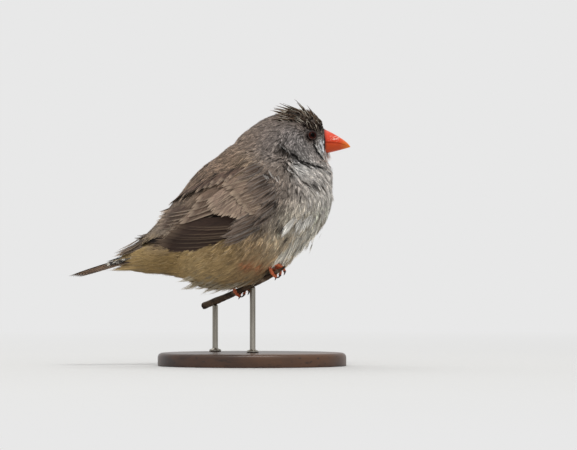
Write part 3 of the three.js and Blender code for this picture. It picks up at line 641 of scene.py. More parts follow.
def speckled(name, scale, colours, rough, strength, distance, stretch=None, **constants):
    # two colours mixed by a fine noise, which is the relief too
    material, tree, shader = newMaterial(name, **constants)
    grains = noiseValue(tree, scale, 3.0, stretch)
    colour = twoTone(tree, grains, 0.35, 0.7, *colours)
    finishMaterial(tree, shader, colour, spread(tree, grains, 0.3, 0.7, *rough), grains, strength, distance)
    return material


# Feather materials

lookFields = ("streak", "rootShade", "fringe", "fringeColour", "mottle", "fringeStart", "sheen", "gloss")
barLook = {"perFeather": 2.6, "offset": 0.12, "edge": (0.12, 0.2), "dark": "#24201e", "white": "#c2bcb0"}
featherLook = {
    "under": (0.9, 0.4, 0.0, "#c9c0b2", 0.1),
    "face": (2.0, 0.5, 0.0, "#e2ddd6", 0.1),
    "soft": (1.8, 0.4, 0.1, "#d5cdc3", 0.1),
    "plume": (1.7, 0.35, 0.12, "#f1ede6", 0.1),
    "downy": (0.55, 0.3, 0.08, "#e0d6c4", 0.1),
    "brown": (2.2, 0.45, 0.12, "#b9a58c", 0.12),
    "crest": (0.8, 0.0, 0.0, "#d9c8ae", 0.2, 0.45, 0.0, 0.08),
    "covert": (0.9, 0.6, 0.6, "#bfab95", 0.15, 0.7),
    "flight": (0.5, 0.2, 0.3, "#8f7b66", 0.1, 0.78),
    "tail": (0.6, 0.1, 0.5, "#a38d7a", 0.15, 0.72, 0.0, 0.08),
    "barred": (0.25, 0.1, 0.2, "#d8d2c6", 0.1),
}


def featherMaterial(kind):
    look = named(lookFields, featherLook[kind])
    gloss, sheen = look.get("gloss", 0.15), look.get("sheen", 0.05)
    material, tree, shader = newMaterial("feather" + kind.capitalize(), Specular_IOR_Level=gloss,
                                         Sheen_Weight=sheen, Sheen_Roughness=0.6)
    tint = readAttribute(tree, "tint", "Color")
    along, across, barb = splitXyz(tree, readAttribute(tree, "barb", "Vector"))
    if kind == "barred":
        bar = maths(tree, "FRACT", plus(tree, times(tree, along, barLook["perFeather"]), barLook["offset"]))
        white = spread(tree, maths(tree, "ABSOLUTE", minus(tree, bar, 0.5)), *barLook["edge"], 1.0, 0.0)
        tint = mixColour(tree, white, rgba(barLook["dark"]), rgba(barLook["white"]))
    toned = useGroup(tree, barbTone, {
        "Tint": tint, "Along": along, "Across": across, "Barb": barb,
        "Lock": readAttribute(tree, "lock", "Fac"), "Streak": look["streak"],
        "Root Shade": look["rootShade"], "Fringe": look["fringe"],
        "Fringe Start": look.get("fringeStart", 0.45), "Fringe Colour": rgba(look["fringeColour"]),
    })["Colour"]
    colour = useGroup(tree, mottle, {"Colour": toned, "Scale": 420.0, "Amount": look["mottle"]})["Colour"]
    rough = spread(tree, barb, 0.0, 1.0, 0.68, 0.9)
    finishMaterial(tree, shader, colour, rough, grained(tree, 2600.0), 0.25, 0.05)
    return material


featherMaterials = {kind: featherMaterial(kind) for kind in featherLook}


def skinMaterial():
    material, tree, shader = newMaterial("skinDownAndShade", Specular_IOR_Level=0.1)
    # the plumage tint dimmed, partly grey down and partly painted shade under the coat
    dim = mixColour(tree, 1.0, readAttribute(tree, "tint", "Color"), skinSettings["dim"], "MULTIPLY")
    colour = useGroup(tree, mottle, {"Colour": dim, "Scale": 700.0, "Amount": 0.5})
    rough = spread(tree, colour["Blotch"], 0.3, 0.7, 0.85, 1.0)
    finishMaterial(tree, shader, colour["Colour"], rough, grained(tree, 1800.0), 0.6, 0.2)
    return material


def makeSkin():
    depth = placeValue(placeWeights(bodyPoints), "depth")
    points = bodyPoints
    for share in (0.35, 0.7, 1.0):
        points, _ = settle(points, -depth * share * skinSettings["sink"], rounds=2, limit=1.2)
        points = relaxed(points, bodyFaces, 2)
    mesh = meshFrom("skin", points, bodyFaces)
    addAttribute(mesh, "tint", plumageAt(bodyPoints))
    return addPiece("skin", mesh, skinMaterial(),
                    ["head", "crest", "neck", "trunk", "rump", "thigh_left", "thigh_right"])


makeSkin()
report("skin")


# Feathers: a shaft traced over the coat, with barbs to both sides

def shaftsFrom(path, up, length, reach, width, loose, roll):
    # path and up hold (stations, feathers, 3); reach is the whole path's length, past the feather's tip
    count = path.shape[1]
    return {"path": path, "up": up, "length": length, "reach": reach, "width": width,
            "loose": np.full(count, loose), "roll": dice.normal(0, roll, count), "lock": dice.random(count)}


def interpolated(path, at):
    # path (stations, feathers, 3) read at (feathers, corners) stations
    low = np.clip(at.astype(int), 0, path.shape[0] - 2)
    share = (at - low)[..., None]
    rows = np.arange(path.shape[1])[:, None]
    return path[low, rows] * (1 - share) + path[low + 1, rows] * share


def shaftFrame(shafts):
    # count, length and width of the feathers, the step along each shaft and the way across it
    path = shafts["path"]
    step = shafts["reach"][:, None] / (path.shape[0] - 1)
    side = unit(np.cross(shafts["up"], unit(np.gradient(path, axis=0))))
    return path.shape[1], shafts["length"][:, None], shafts["width"][:, None], step, side


def onShaft(shafts, step, side, a, c, height):
    # the spot a along each shaft, c across it and height over it
    at = np.clip(a / step, 0, shafts["path"].shape[0] - 1.001)
    spot = interpolated(shafts["path"], at) + interpolated(side, at) * c[..., None]
    return spot + interpolated(shafts["up"], at) * height[..., None]


def stripMesh(corners, shades, flat, parts):
    # joins the two edges of every barb into a strip of triangles
    count, barbs = corners[0].shape[:2]
    corners, shades, flat = (np.stack(rows, 2).reshape(-1, rows[0].shape[-1])
                             for rows in (corners, shades, flat))
    per = 2 * (parts + 1)
    strip = []
    for a in range(0, 2 * parts, 2):
        strip += [(a, a + 1, a + 3), (a, a + 3, a + 2)]
    base = np.arange(count * barbs)[:, None, None] * per
    return corners, (base + np.array(strip)[None]).reshape(-1, 3), shades, flat, per * barbs


def barbedMesh(shafts, form):
    # Every feather of a piece has the same number of barbs, so the whole piece is made as arrays.
    count, length, width, step, side = shaftFrame(shafts)
    barbs, parts = form["barbs"], form["parts"]
    number = np.tile(np.arange(barbs), 2)
    hand = np.repeat([-1.0, 1.0], barbs)
    start = form["from"] + (form["to"] - form["from"]) * (number + 0.25 * (hand > 0)) / barbs
    start = start[None, :] * np.ones((count, 1))
    wild = dice.normal(0, 1, (count, 2 * barbs)) * form["ragged"]
    loose = shafts["loose"][:, None]
    advance = form["advance"] * (1 - 0.35 * start) * (1 + 0.5 * wild + 0.35 * loose * np.abs(wild))
    end = start + advance
    share = np.clip(end / (form["to"] + form["advance"] * 0.7), 0.02, 1)
    outline = np.clip(share / form["shoulder"], 0, 1) ** 0.6 * (1 - share ** form["blunt"]) ** form["round"]
    webs = np.where(hand < 0, form["webs"][0], form["webs"][1])
    out = hand * webs * width / 2 * outline * (1 + wild)
    group = number // form["clump"][0]
    pull = form["clump"][1] * loose ** 0.5
    tone = dice.random((count, 2 * barbs))
    for g in range(int(group.max()) + 1):
        for h in (-1, 1):
            chosen = (group == g) & (hand == h)
            lockTone = dice.random((count, 1))
            tone[:, chosen] = tone[:, chosen] * (1 - form["toneShare"]) + lockTone * form["toneShare"]
            middle = out[:, chosen].mean(1, keepdims=True)
            out[:, chosen] += (middle - out[:, chosen]) * pull
            tip = end[:, chosen].max(1, keepdims=True)
            end[:, chosen] += (tip - end[:, chosen]) * pull * 0.7
    rise = dice.normal(0, 1, (count, 2 * barbs)) * form["tousle"]
    lean = np.tan(shafts["roll"][:, None])
    thick = form["barbWidth"] / 2 * np.sqrt(width / form["barbWidthAt"]) * np.ones((count, 2 * barbs))
    slopeA, slopeC = (end - start) * length, out * 1.2
    size = np.sqrt(slopeA ** 2 + slopeC ** 2) + 1e-6
    corners, shades, flat = [], [], []
    for k in range(parts + 1):
        t = k / parts
        along = (start + (end - start) * t ** form["sweep"]) * length
        across = out * (1 - (1 - t) ** 1.5)
        wide = thick * (1 - (1 - form["tipWide"]) * t ** 1.6)
        for edge in (-1, 1):
            a = along - edge * hand * slopeC / size * wide * hand
            c = across + edge * slopeA / size * wide
            height = rise * t - form["cup"] * (c / width) ** 2 * width + lean * c
            height = height + edge * hand * form["louvre"]
            corners.append(onShaft(shafts, step, side, a, c, height))
            shades.append(np.stack([a / length, np.abs(c) / (width / 2), tone], -1))
            flat.append(np.stack([c / width, a / length - 0.5], -1))
    return stripMesh(corners, shades, flat, parts)


def lockMesh(shafts, form):
    # strands side by side along a shaft, spread in the middle and drawn together at the tip
    count, length, width, step, side = shaftFrame(shafts)
    strands, parts = form["barbs"], form["parts"]
    fan = np.linspace(-1, 1, strands)[None] + dice.normal(0, 0.5 / strands, (count, strands))
    start = form["from"] + dice.random((count, strands)) * form["stagger"]
    end = 1 - np.abs(fan) * form["taper"] - dice.random((count, strands)) * form["ragged"]
    strays = dice.random((count, strands)) < form["stray"]
    end += np.where(strays, dice.uniform(0.02, 0.2, (count, strands)), 0)
    rise = dice.normal(0, 1, (count, strands)) * form["tousle"]
    swing = dice.normal(0, 1, (count, strands)) * form["swing"]
    bend = dice.normal(0, 1, (count, 1)) * form["bend"]
    tone = dice.random((count, strands))
    bundles = np.arange(strands) // form["bundle"]
    for g in range(bundles.max() + 1):
        own = bundles == g
        tone[:, own] += (dice.random((count, 1)) - tone[:, own]) * form["toneShare"]
        middle = fan[:, own].mean(1, keepdims=True)
        fan[:, own] += (middle - fan[:, own]) * form["gather"]
    thick = form["barbWidth"] / 2 * (width / form["barbWidthAt"]) ** 0.5 * np.ones((count, strands))
    lean = np.tan(shafts["roll"][:, None])
    out, past = form["shoulder"], 1.12
    corners, shades, flat = [], [], []
    for k in range(parts + 1):
        t = k / parts
        s = start + (end - start) * t
        point = np.clip((past - s) / (past - out), 0, 1) ** form["point"]
        wide = np.minimum(np.clip(s / out, 0, 1) ** 0.6, point)
        across = (fan * wide + swing * t * t + bend * s * s * length / width * 2) * width / 2
        thin = thick * (1 - (1 - form["tipWide"]) * t ** 1.5)
        for edge in (-1, 1):
            c = across + edge * thin
            height = rise * t * t - form["cup"] * (c / width) ** 2 * width + lean * c
            corners.append(onShaft(shafts, step, side, s * length, c, height))
            shades.append(np.stack([s, np.abs(fan), tone], -1))
            flat.append(np.stack([c / width, s - 0.5], -1))
    return stripMesh(corners, shades, flat, parts)


def bakeMap(mesh, roots, flat, perFeather):
    # each feather is a small patch at its root's place on an unwrap of the body round its own long axis
    patch = 0.003
    nose, rear = np.array([26.0, 0, 78.0]), np.array([-40.0, 0, 38.0])
    axis = unit(rear - nose)
    over = unit(np.cross(axis, np.array([0.0, 1.0, 0.0])))
    rel = roots - nose
    place = np.stack([np.arctan2(rel[:, 1], rel @ over), rel @ axis], -1)
    low, high = place.min(0), place.max(0)
    place = 0.02 + 0.96 * (place - low) / np.maximum(high - low, 1e-6)
    uv = np.repeat(place, perFeather, 0) + flat * patch / max(1.0, np.abs(flat).max() / 0.7)
    layer = mesh.uv_layers.new(name="OFBake")
    layer.data.foreach_set("uv", uv[meshCorners(mesh)].astype(np.float32).ravel())


def featherPiece(name, shafts, form, kind, replaces=()):
    build = lockMesh if "stagger" in form else barbedMesh
    points, faces, shades, flat, per = build(shafts, form)
    mesh = meshFrom(name, points, faces)
    tint = np.repeat(shafts["tint"], per, 0)
    if "tipTint" in shafts:
        share = (np.clip(shades[:, :1] - 0.25, 0, 1) / 0.75) ** 1.3
        tint = tint + (np.repeat(shafts["tipTint"], per, 0) - tint) * share
        edge = (shades[:, 1:2] > 0.8) * np.repeat(shafts["edgeShare"], per)[:, None]
        edge = edge * (1 - 0.75 * np.clip((shades[:, :1] - 0.45) / 0.35, 0, 1))
        tint = tint + (np.repeat(shafts["edgeTint"], per, 0) - tint) * edge
    addAttribute(mesh, "tint", tint)
    addAttribute(mesh, "barb", shades)
    addAttribute(mesh, "lock", np.repeat(shafts["lock"], per, 0))
    bakeMap(mesh, shafts["path"][0], flat, per)
    addPiece(name, mesh, featherMaterials[kind], replaces)
    print(f"    {name}: {len(shafts['lock'])} feathers, {len(faces)} triangles")
    return len(faces)


eyeSpec = {"x": 20.6, "z": 80.2, "y": 7.35, "radius": 2.05, "opening": 1.36, "clear": 2.08}
gripRight = np.array([8.6, -10.2, 32.9])
gripLeft = np.array([-4.2, 4.0, 26.3])
def eyeMiddle(side):
    return np.array([eyeSpec["x"], side * eyeSpec["y"], eyeSpec["z"]])


# spots that the shafts keep clear of, and how far
keepClear = [(eyeMiddle(1), eyeSpec["clear"]), (eyeMiddle(-1), eyeSpec["clear"]),
             (gripRight, 3.3), (gripLeft, 3.0)]

billTaper = {"culmen": 0.68, "gonys": 0.9, "width": 0.72, "rim": 0.22, "gapeBow": 3}


def billSection(x, grow=0.0):
    # top, bottom, half width and height of the gape at x
    u = np.clip((x - billBase["x"]) / (billTip["x"] - billBase["x"]), 0, 1)
    left = 1 - u
    top = billTip["z"] + (billBase["culmen"] - billTip["z"]) * left ** billTaper["culmen"] + grow
    low = billTip["z"] - (billTip["z"] - billBase["gonys"]) * left ** billTaper["gonys"] - grow
    wide = billBase["halfWidth"] * left ** billTaper["width"] + billTaper["rim"] + grow
    gape = billTip["z"] + (billBase["gape"] - billTip["z"]) * (1 - u ** billTaper["gapeBow"])
    return top, low, wide, gape


def inBill(p, grow):
    top, low, wide, gape = billSection(p[..., 0], grow)
    reach = np.where(p[..., 2] > gape, top - gape, gape - low)
    return ((p[..., 1] / wide) ** 2 + ((p[..., 2] - gape) / reach) ** 2 < 1) & (p[..., 0] > 22)

rootsTried = 4.5   # roots tried for each one that finds room


def scatter(spacingScale=1.0):
    # root places, evenly spread, closer where the feathers are smaller
    tri = np.concatenate([bodyFaces[:, [0, 1, 2]], bodyFaces[:, [0, 2, 3]]])
    a, b, c = (bodyPoints[tri[:, k]] for k in range(3))
    area = lengthOf(np.cross(b - a, c - a)) / 2
    middle = (a + b + c) / 3
    spacing = placeValue(placeWeights(middle), "spacing") * spacingScale
    want = area / spacing ** 2 * rootsTried
    total = int(want.sum())
    pick = np.searchsorted(np.cumsum(want) / want.sum(), dice.random(total))
    r1, r2 = np.sqrt(dice.random(total))[:, None], dice.random(total)[:, None]
    spots = a[pick] * (1 - r1) + b[pick] * (r1 * (1 - r2)) + c[pick] * (r1 * r2)
    gaps = spacing[pick]
    tree = KDTree(total)
    for i, spot in enumerate(spots):
        tree.insert(spot, i)
    tree.balance()
    free = np.ones(total, bool)
    kept = []
    for i in range(total):
        if free[i]:
            kept.append(i)
            for _, j, _ in tree.find_range(spots[i], gaps[i]):
                free[j] = False
    return spots[kept]


wingWindow = [(-3, 57.5), (-9, 61.5), (-16, 58), (-24, 52.5), (-33, 47.5), (-41, 45),
              (-33, 41.8), (-20, 40.8), (-11, 42.8), (-4, 46.5)]


coverStyle = {"stations": 7, "stiff": 0.35, "length": 1.0, "width": 1.0, "lift": 1.0, "wander": 0.13,
              "roll": 0.16, "stand": 0.3}
plumeStyle = {"stations": 8, "stiff": 0.35, "length": 1.35, "width": 1.0, "lift": 1.15, "wander": 0.07,
              "roll": 0.08, "stand": 0.6}
silkStyle = {**plumeStyle, "length": 1.4, "width": 1.3, "wander": 0.06}
dashStyle = {"stations": 6, "stiff": 0.3, "length": 0.7, "width": 0.5, "lift": 1.2, "wander": 0.1,
             "roll": 0.15, "stand": 0.0}

# how far the locks stand off the body: x, z, reach along x and z, share
standing = {"vent": (-14, 28, 13, 6, 0.42), "lowBreast": (21, 44, 8, 9, 0.22),
            "back": (-24, 58, 10, 8, 0.12), "nape": (-4, 80, 10, 7, 0.16)}


def standingAt(p):
    total = 0
    for x, z, reachX, reachZ, share in standing.values():
        total = total + share * np.exp(-((p[:, 0] - x) / reachX) ** 2 - ((p[:, 2] - z) / reachZ) ** 2)
    return total

shaftRule = {"past": 1.3, "stiffest": 0.97, "rumpEnd": (33, 39), "rootDepth": 0.75, "rising": 0.55,
             "under": 0.12, "follow": 0.25}


def shaftsOver(roots, style):
    # walks each shaft over the coat, from the skin at its root to the tip just over the coat
    weights = placeWeights(roots)
    value = {field: placeValue(weights, field) for field in placeFields}
    count, stations, rule = len(roots), style["stations"], shaftRule
    stiff = style["stiff"] + (rule["stiffest"] - style["stiff"]) * ramp(-roots[:, 0], *rule["rumpEnd"])
    standOff = standingAt(roots) * dice.uniform(0.3, 1.7, count)
    stiff = np.clip(stiff + standOff * style["stand"] * 1.2, 0, rule["stiffest"])
    length = value["length"] * dice.uniform(0.8, 1.2, count) * style["length"]
    width = value["width"] * dice.uniform(0.8, 1.2, count) * style["width"]
    reach = length * rule["past"]
    _, normal = settle(roots, 0.0, rounds=1)
    ahead = lieAt(roots, normal)
    turn = dice.normal(0, style["wander"], count) * (1 + value["loose"])
    ahead = unit(ahead + np.cross(normal, ahead) * turn[:, None])
    lift = value["lift"] * dice.uniform(0.1, 1.3, count) * style["lift"]
    path = np.empty((stations + 1, count, 3))
    up = np.empty_like(path)
    spot = roots
    for k in range(stations + 1):
        u = k / stations * rule["past"]
        sink = -value["depth"] * rule["rootDepth"] * np.clip(1 - u / rule["rising"], 0, 1) ** 1.3
        level = sink + lift * np.clip(u, 0, 1.2) ** 2 - rule["under"] + foldLift(spot, roots)
        on, normal = settle(spot, level, rounds=1)
        hold = (stiff * np.clip(u * (1 + 3 * (roots[:, 0] < -36)) - 0.2, 0, 1))[:, None]
        spot = on + (spot - on) * hold
        path[k], up[k] = spot, normal
        flow = lieAt(spot, normal)
        ahead = unit(ahead - normal * (ahead * normal).sum(-1, keepdims=True) * (1 - hold))
        ahead = unit(ahead * (1 - rule["follow"]) + flow * rule["follow"])
        off = (standOff * style["stand"] * np.clip(u - 0.15, 0, 1))[:, None]
        spot = spot + unit(ahead + normal * off) * (reach / stations)[:, None]
    return shaftsFrom(path, up, length, reach, width, value["loose"], style["roll"])


def belowFold(p, gap):
    line = np.array(cheekFold)
    reached = (p[..., 0] > line[0, 0]) & (np.abs(p[..., 1]) > 2)
    return (p[..., 2] < np.interp(p[..., 0], line[:, 0], line[:, 1]) - gap) & reached


def shortened(shafts):
    # feathers end before the eyes, the bill and the feet
    path = shafts["path"]
    stations = path.shape[0] - 1
    blocked = inBill(path, 0.25)
    for middle, radius in keepClear:
        blocked |= lengthOf(path - middle) < radius
    blocked |= ~belowFold(path[:1], 0.0) & belowFold(path, 0.35)
    first = np.where(blocked.any(0), np.argmax(blocked, 0), stations + 1)
    room = first / stations * shaftRule["past"] * 0.8
    shafts["length"] = shafts["length"] * np.minimum(1, room)
    steps = lengthOf(np.diff(path, axis=0))
    near = (coatField(path[-1]) < 2.2) & (steps.max(0) < shafts["reach"] / stations * 1.7)
    return (first > 1) & (room > 0.3) & near


def picked(shafts, chosen):
    return {key: value[:, chosen] if key in ("path", "up") else value[chosen]
            for key, value in shafts.items()}


softForm = {"from": 0.04, "to": 0.9, "advance": 0.3, "ragged": 0.16, "shoulder": 0.45, "blunt": 3.2,
            "round": 0.6, "webs": (1, 1), "clump": (3, 0.75), "tousle": 0.1, "barbWidth": 0.24,
            "barbWidthAt": 2.0, "sweep": 1.15, "tipWide": 0.12, "cup": 0.25, "louvre": 0.0,
            "toneShare": 0.6}
plumeForm = {"from": 0.0, "stagger": 0.5, "taper": 0.12, "ragged": 0.28, "stray": 0.1, "tousle": 0.06,
             "swing": 0.05, "bend": 0.02, "bundle": 2, "gather": 0.4, "toneShare": 0.7, "barbWidth": 0.22,
             "barbWidthAt": 2.0, "shoulder": 0.5, "point": 0.9, "tipWide": 0.15, "cup": 0.4}
silkForm = {**plumeForm, "stagger": 0.6, "taper": 0.12, "barbWidth": 0.21, "barbWidthAt": 3.2,
            "shoulder": 0.55, "toneShare": 0.6, "gather": 0.3, "cup": 0.25}
dashForm = {**plumeForm, "ragged": 0.15, "tousle": 0.05, "bundle": 9, "toneShare": 0.85, "barbWidth": 0.17,
            "barbWidthAt": 0.4, "shoulder": 0.55, "point": 0.7}
pieceFields = ("barbs", "parts", "kind", "slot", "of")
coatPieces = {
    "Face": (5, 2, "under", "head"),
    "Cheek": (6, 2, "under", "head"),
    "Crown": (8, 2, "under", "crest"),
    "Neck": (9, 2, "under", "neck"),
    "Breast": (10, 2, "under", "trunk"),
    "Belly": (10, 2, "under", "trunk"),
    "Flank": (10, 2, "under", "thigh"),
    "Mantle": (10, 2, "brown", "trunk"),
    "Rump": (10, 2, "under", "rump"),
}
dashPieces = {
    "Face": (3, 2, "face", "head"),
    "Cheek": (4, 2, "face", "head"),
}
silkPieces = {
    "Breast": (22, 4, "plume", "trunk"),
    "Belly": (22, 4, "downy", "trunk"),
    "Flank": (20, 4, "downy", "thigh"),
}
plumePieces = {
    "Crown": (9, 3, "soft", "crest"),
    "Neck": (10, 3, "plume", "neck"),
    "Mantle": (10, 3, "brown", "trunk"),
    "Rump": (10, 3, "downy", "rump"),
}


hairStyle = {**plumeStyle, "length": 0.75, "width": 0.2, "lift": 1.9, "wander": 0.14, "stand": 0.9}
hairForm = {**plumeForm, "stagger": 0.3, "bundle": 2, "barbWidth": 0.15, "barbWidthAt": 0.45,
            "tousle": 0.02, "swing": 0.3}
hairPieces = {
    "Body": (
        2, 4, "plume", "trunk", ("Neck", "Breast", "Belly", "Flank", "Crown", "Mantle", "Rump", "Cheek")),
}

# calm: how much of a layer's own painted shade or highlight the smooth parts take
layerRule = {"lastX": -45.5, "calm": 0.45, "brightest": 0.85}


def makeLayer(prefix, plans, form, style, spacing, shade):
    plans = {name: named(pieceFields, row) for name, row in plans.items()}
    roots = scatter(spacing)
    aside = np.abs(roots[:, 1]) > 2.5
    hidden = insideOutline(roots, wingWindow) & aside
    hidden |= inBill(roots, 0.15)
    hidden |= roots[:, 0] < layerRule["lastX"]
    piece = placePiece[placeWeights(roots).argmax(1)]
    names = [name for label, plan in plans.items() for name in plan.get("of", (label,))]
    hidden |= ~np.isin(piece, names)
    roots, piece = roots[~hidden], piece[~hidden]
    shafts = shaftsOver(roots, style)
    good = shortened(shafts)
    shafts, roots, piece = picked(shafts, good), roots[good], piece[good]
    calm = np.where(np.isin(piece, ("Belly", "Flank", "Rump")), layerRule["calm"], 1.0)[:, None]
    tint = plumageAt(shafts["path"][-3]) * (1 + (shade - 1) * calm)
    shafts["tint"] = np.minimum(tint, layerRule["brightest"])
    total = 0
    for name, plan in plans.items():
        own = {**form, "barbs": plan["barbs"], "parts": plan["parts"]}
        for side, label in bothSides:
            chosen = np.isin(piece, plan.get("of", (name,))) & (np.sign(roots[:, 1]) == side)
            few = picked(shafts, chosen)
            total += featherPiece(prefix + name + label, few, own, plan["kind"])
    return total


# the layers, from the skin out: pieces, form, style, spacing, shade; shade multiplies the plumage colour,
# below 1 as painted shade (under coat, dark hairs), above 1 as painted highlight (outer layers, pale hairs)
coatLayers = {
    "coat": (coatPieces, softForm, coverStyle, 1.1, 0.6),
    "dashes": (dashPieces, dashForm, dashStyle, 0.5, 1.2),
    "plumes": (plumePieces, plumeForm, plumeStyle, 1.15, 1.25),
    "silk": (silkPieces, silkForm, silkStyle, 1.5, 1.25),
    "shadeHairs": (hairPieces, hairForm, hairStyle, 1.25, 0.22),
    "highlightHairs": (hairPieces, hairForm, hairStyle, 1.1, 2.0),
}
coatTotal = 0
for layer, plan in coatLayers.items():
    coatTotal += makeLayer(layer, *plan)
report(f"coat, {coatTotal} triangles")


# Crest: raised spiky locks in two fans, one swept back from over the eye and one standing over the forehead

# fill is the number of short locks between the long ones; tall and short are shares of the full length
crestPlan = {"rows": 8, "sink": 0.5, "width": 1.1, "lean": 0.3, "fill": 150, "fillLength": 0.42,
             "tallShare": 0.24, "tall": (0.95, 1.12), "short": (0.38, 0.68)}
# x of the root, direction in degrees from +X, length
crestLocks = [(11.5, 163, 5), (13.2, 160, 6.5), (14.8, 158, 8.4), (16.2, 155, 9.2), (17.4, 150, 9.6),
              (18.6, 145, 10.4), (19.5, 124, 8.2), (20.3, 118, 7.6), (21.2, 114, 6.8), (22.2, 112, 6.4),
              (23, 113, 5.6), (23.7, 117, 4.4), (24.2, 122, 3.6)]
crestEdge = [(9, 85.2), (13, 85.4), (17, 84.9), (20, 83.9), (22.5, 82.9), (24.9, 82.7)]
crestForm = {**plumeForm, "stagger": 0.15, "taper": 0.3, "ragged": 0.06, "stray": 0.0, "tousle": 0.03,
             "swing": 0.04, "bend": 0.02, "bundle": 9, "gather": 0.0, "toneShare": 0.1, "barbWidth": 0.21,
             "barbWidthAt": 1.2, "shoulder": 0.25, "point": 2.2, "tipWide": 0.3, "cup": 0.7, "barbs": 9,
             "parts": 4}
crestColours = ("#0d0807", "#160f0c", "#080505", "#221813")
crestTips = {"tip": "#7c6653", "edge": "#f6ecd9"}


def topSpot(x, y):
    # the highest point of the coat at x, y
    column = np.linspace(72, 96, 160)
    grid = np.stack(np.broadcast_arrays(x[:, None], y[:, None], column[None]), -1)
    inside = coatField(grid) < 0
    z = column[inside.shape[1] - 1 - np.argmax(inside[:, ::-1], 1)]
    return settle(np.stack([x, y, z], -1), -crestPlan["sink"])


def makeCrest(stations=7):
    plan, locks = crestPlan, np.array(crestLocks)
    rows = np.linspace(-1, 1, plan["rows"])
    x, across = [grid.ravel() for grid in np.meshgrid(locks[:, 0], rows)]
    main = len(x)
    x = np.concatenate([x + dice.normal(0, 0.25, main), dice.uniform(11.5, 24.0, plan["fill"])])
    across = np.concatenate([across + dice.normal(0, 0.05, main), dice.uniform(-1, 1, plan["fill"])])
    across = np.clip(across, -1, 1)
    count = len(x)
    edge = np.array(crestEdge)
    widest, _ = sideSpot(x, np.interp(x, edge[:, 0], edge[:, 1]), 0.0, 1)
    y = across * widest[:, 1]
    spot, _ = topSpot(x, y)
    turn = np.interp(x, locks[:, 0], locks[:, 1]) + dice.normal(0, 2.5, count) + 4 * np.abs(across)
    turn = np.radians(turn)
    tall = dice.random(count) < plan["tallShare"]
    share = np.where(tall, dice.uniform(*plan["tall"], count), dice.uniform(*plan["short"], count))
    longest = np.interp(x, locks[:, 0], locks[:, 2]) * 0.94 * share
    longest[main:] *= plan["fillLength"]
    outward = -plan["lean"] * across + dice.normal(0, 0.06, count)
    heading = unit(np.stack([np.cos(turn), outward, np.sin(turn)], -1))
    path = np.empty((stations + 1, count, 3))
    up = np.empty_like(path)
    for k in range(stations + 1):
        under = np.clip(0.12 + 0.05 * k - coatField(spot), 0, 1.5)[:, None] if k else 0.0
        slope = unit(coatSlope(spot))
        spot = spot + slope * under
        path[k] = spot
        facing = np.stack([np.zeros(count), np.sign(y + 0.001), np.zeros(count)], -1)
        up[k] = unit(slope * (1 - k / stations) + facing * (0.35 + k / stations))
        heading = unit(heading + np.array([-0.03, 0, -0.02]))
        spot = spot + heading * (longest * 1.15 / stations)[:, None]
    width = plan["width"] * dice.uniform(0.75, 1.2, count)
    shafts = shaftsFrom(path, up, longest, longest * 1.15, width, 0.8, 0.35)
    shades = np.array([linearColour(code) for code in crestColours])
    shafts["tint"] = shades[dice.integers(0, len(shades), count)] * dice.uniform(0.8, 1.2, count)[:, None]
    shafts["tipTint"] = linearColour(crestTips["tip"]) * dice.uniform(0.3, 1.1, count)[:, None]
    shafts["edgeTint"] = linearColour(crestTips["edge"]) * dice.uniform(0.6, 1.0, count)[:, None]
    shafts["edgeShare"] = np.where(dice.random(count) < 0.75, dice.uniform(0.6, 1.0, count), 0.1)
    shafts["edgeShare"][main:] *= 0.3
    return featherPiece("crestLocks", shafts, crestForm, "crest")


coatTotal += makeCrest()
report("crest")


# Locks placed one by one: the fold under the cheek and the dark gaps, both with strands of painted shade,
# the pale flicks and the loose fringe

def stepsAlong(line, count, reach=1.0):
    # points at equal steps along a line, and past its end if reach is over 1
    line = np.array(line, float).reshape(-1, 2)
    steps = runAlong(line)
    at = np.linspace(0, reach, count) * steps[-1]
    points = np.stack([np.interp(at, steps, line[:, k]) for k in (0, 1)], -1)
    ending = (line[-1] - line[-2]) / np.linalg.norm(line[-1] - line[-2])
    return points + np.maximum(at - steps[-1], 0)[:, None] * ending


def crossing(line, count, before, after, turn):
    # short lines in direction turn that cross a longer one
    points = stepsAlong(line, count)
    ahead = np.array([math.cos(math.radians(turn)), math.sin(math.radians(turn))])
    return [[tuple(point - ahead * before), tuple(point + ahead * after)] for point in points]


def stretches(line, count, share):
    points = stepsAlong(line, 60)
    starts = np.linspace(0, 1 - share, count)
    return [points[int(a * 59):int((a + share) * 59) + 1:4] for a in starts]


def roundEye(angles, near, long, lean):
    # short lines that start at the lid and lean over to the lie of the cheek
    lines = []
    for angle in np.radians(angles):
        out = np.array([math.cos(angle), math.sin(angle)])
        start = np.array([eyeSpec["x"], eyeSpec["z"]]) + out * near
        ahead = unit(out + np.array(lean))
        lines.append([tuple(start), tuple(start + ahead * long)])
    return lines


tearLine = [(21.4, 78.5), (22.4, 74.9), (24.4, 72.7)]
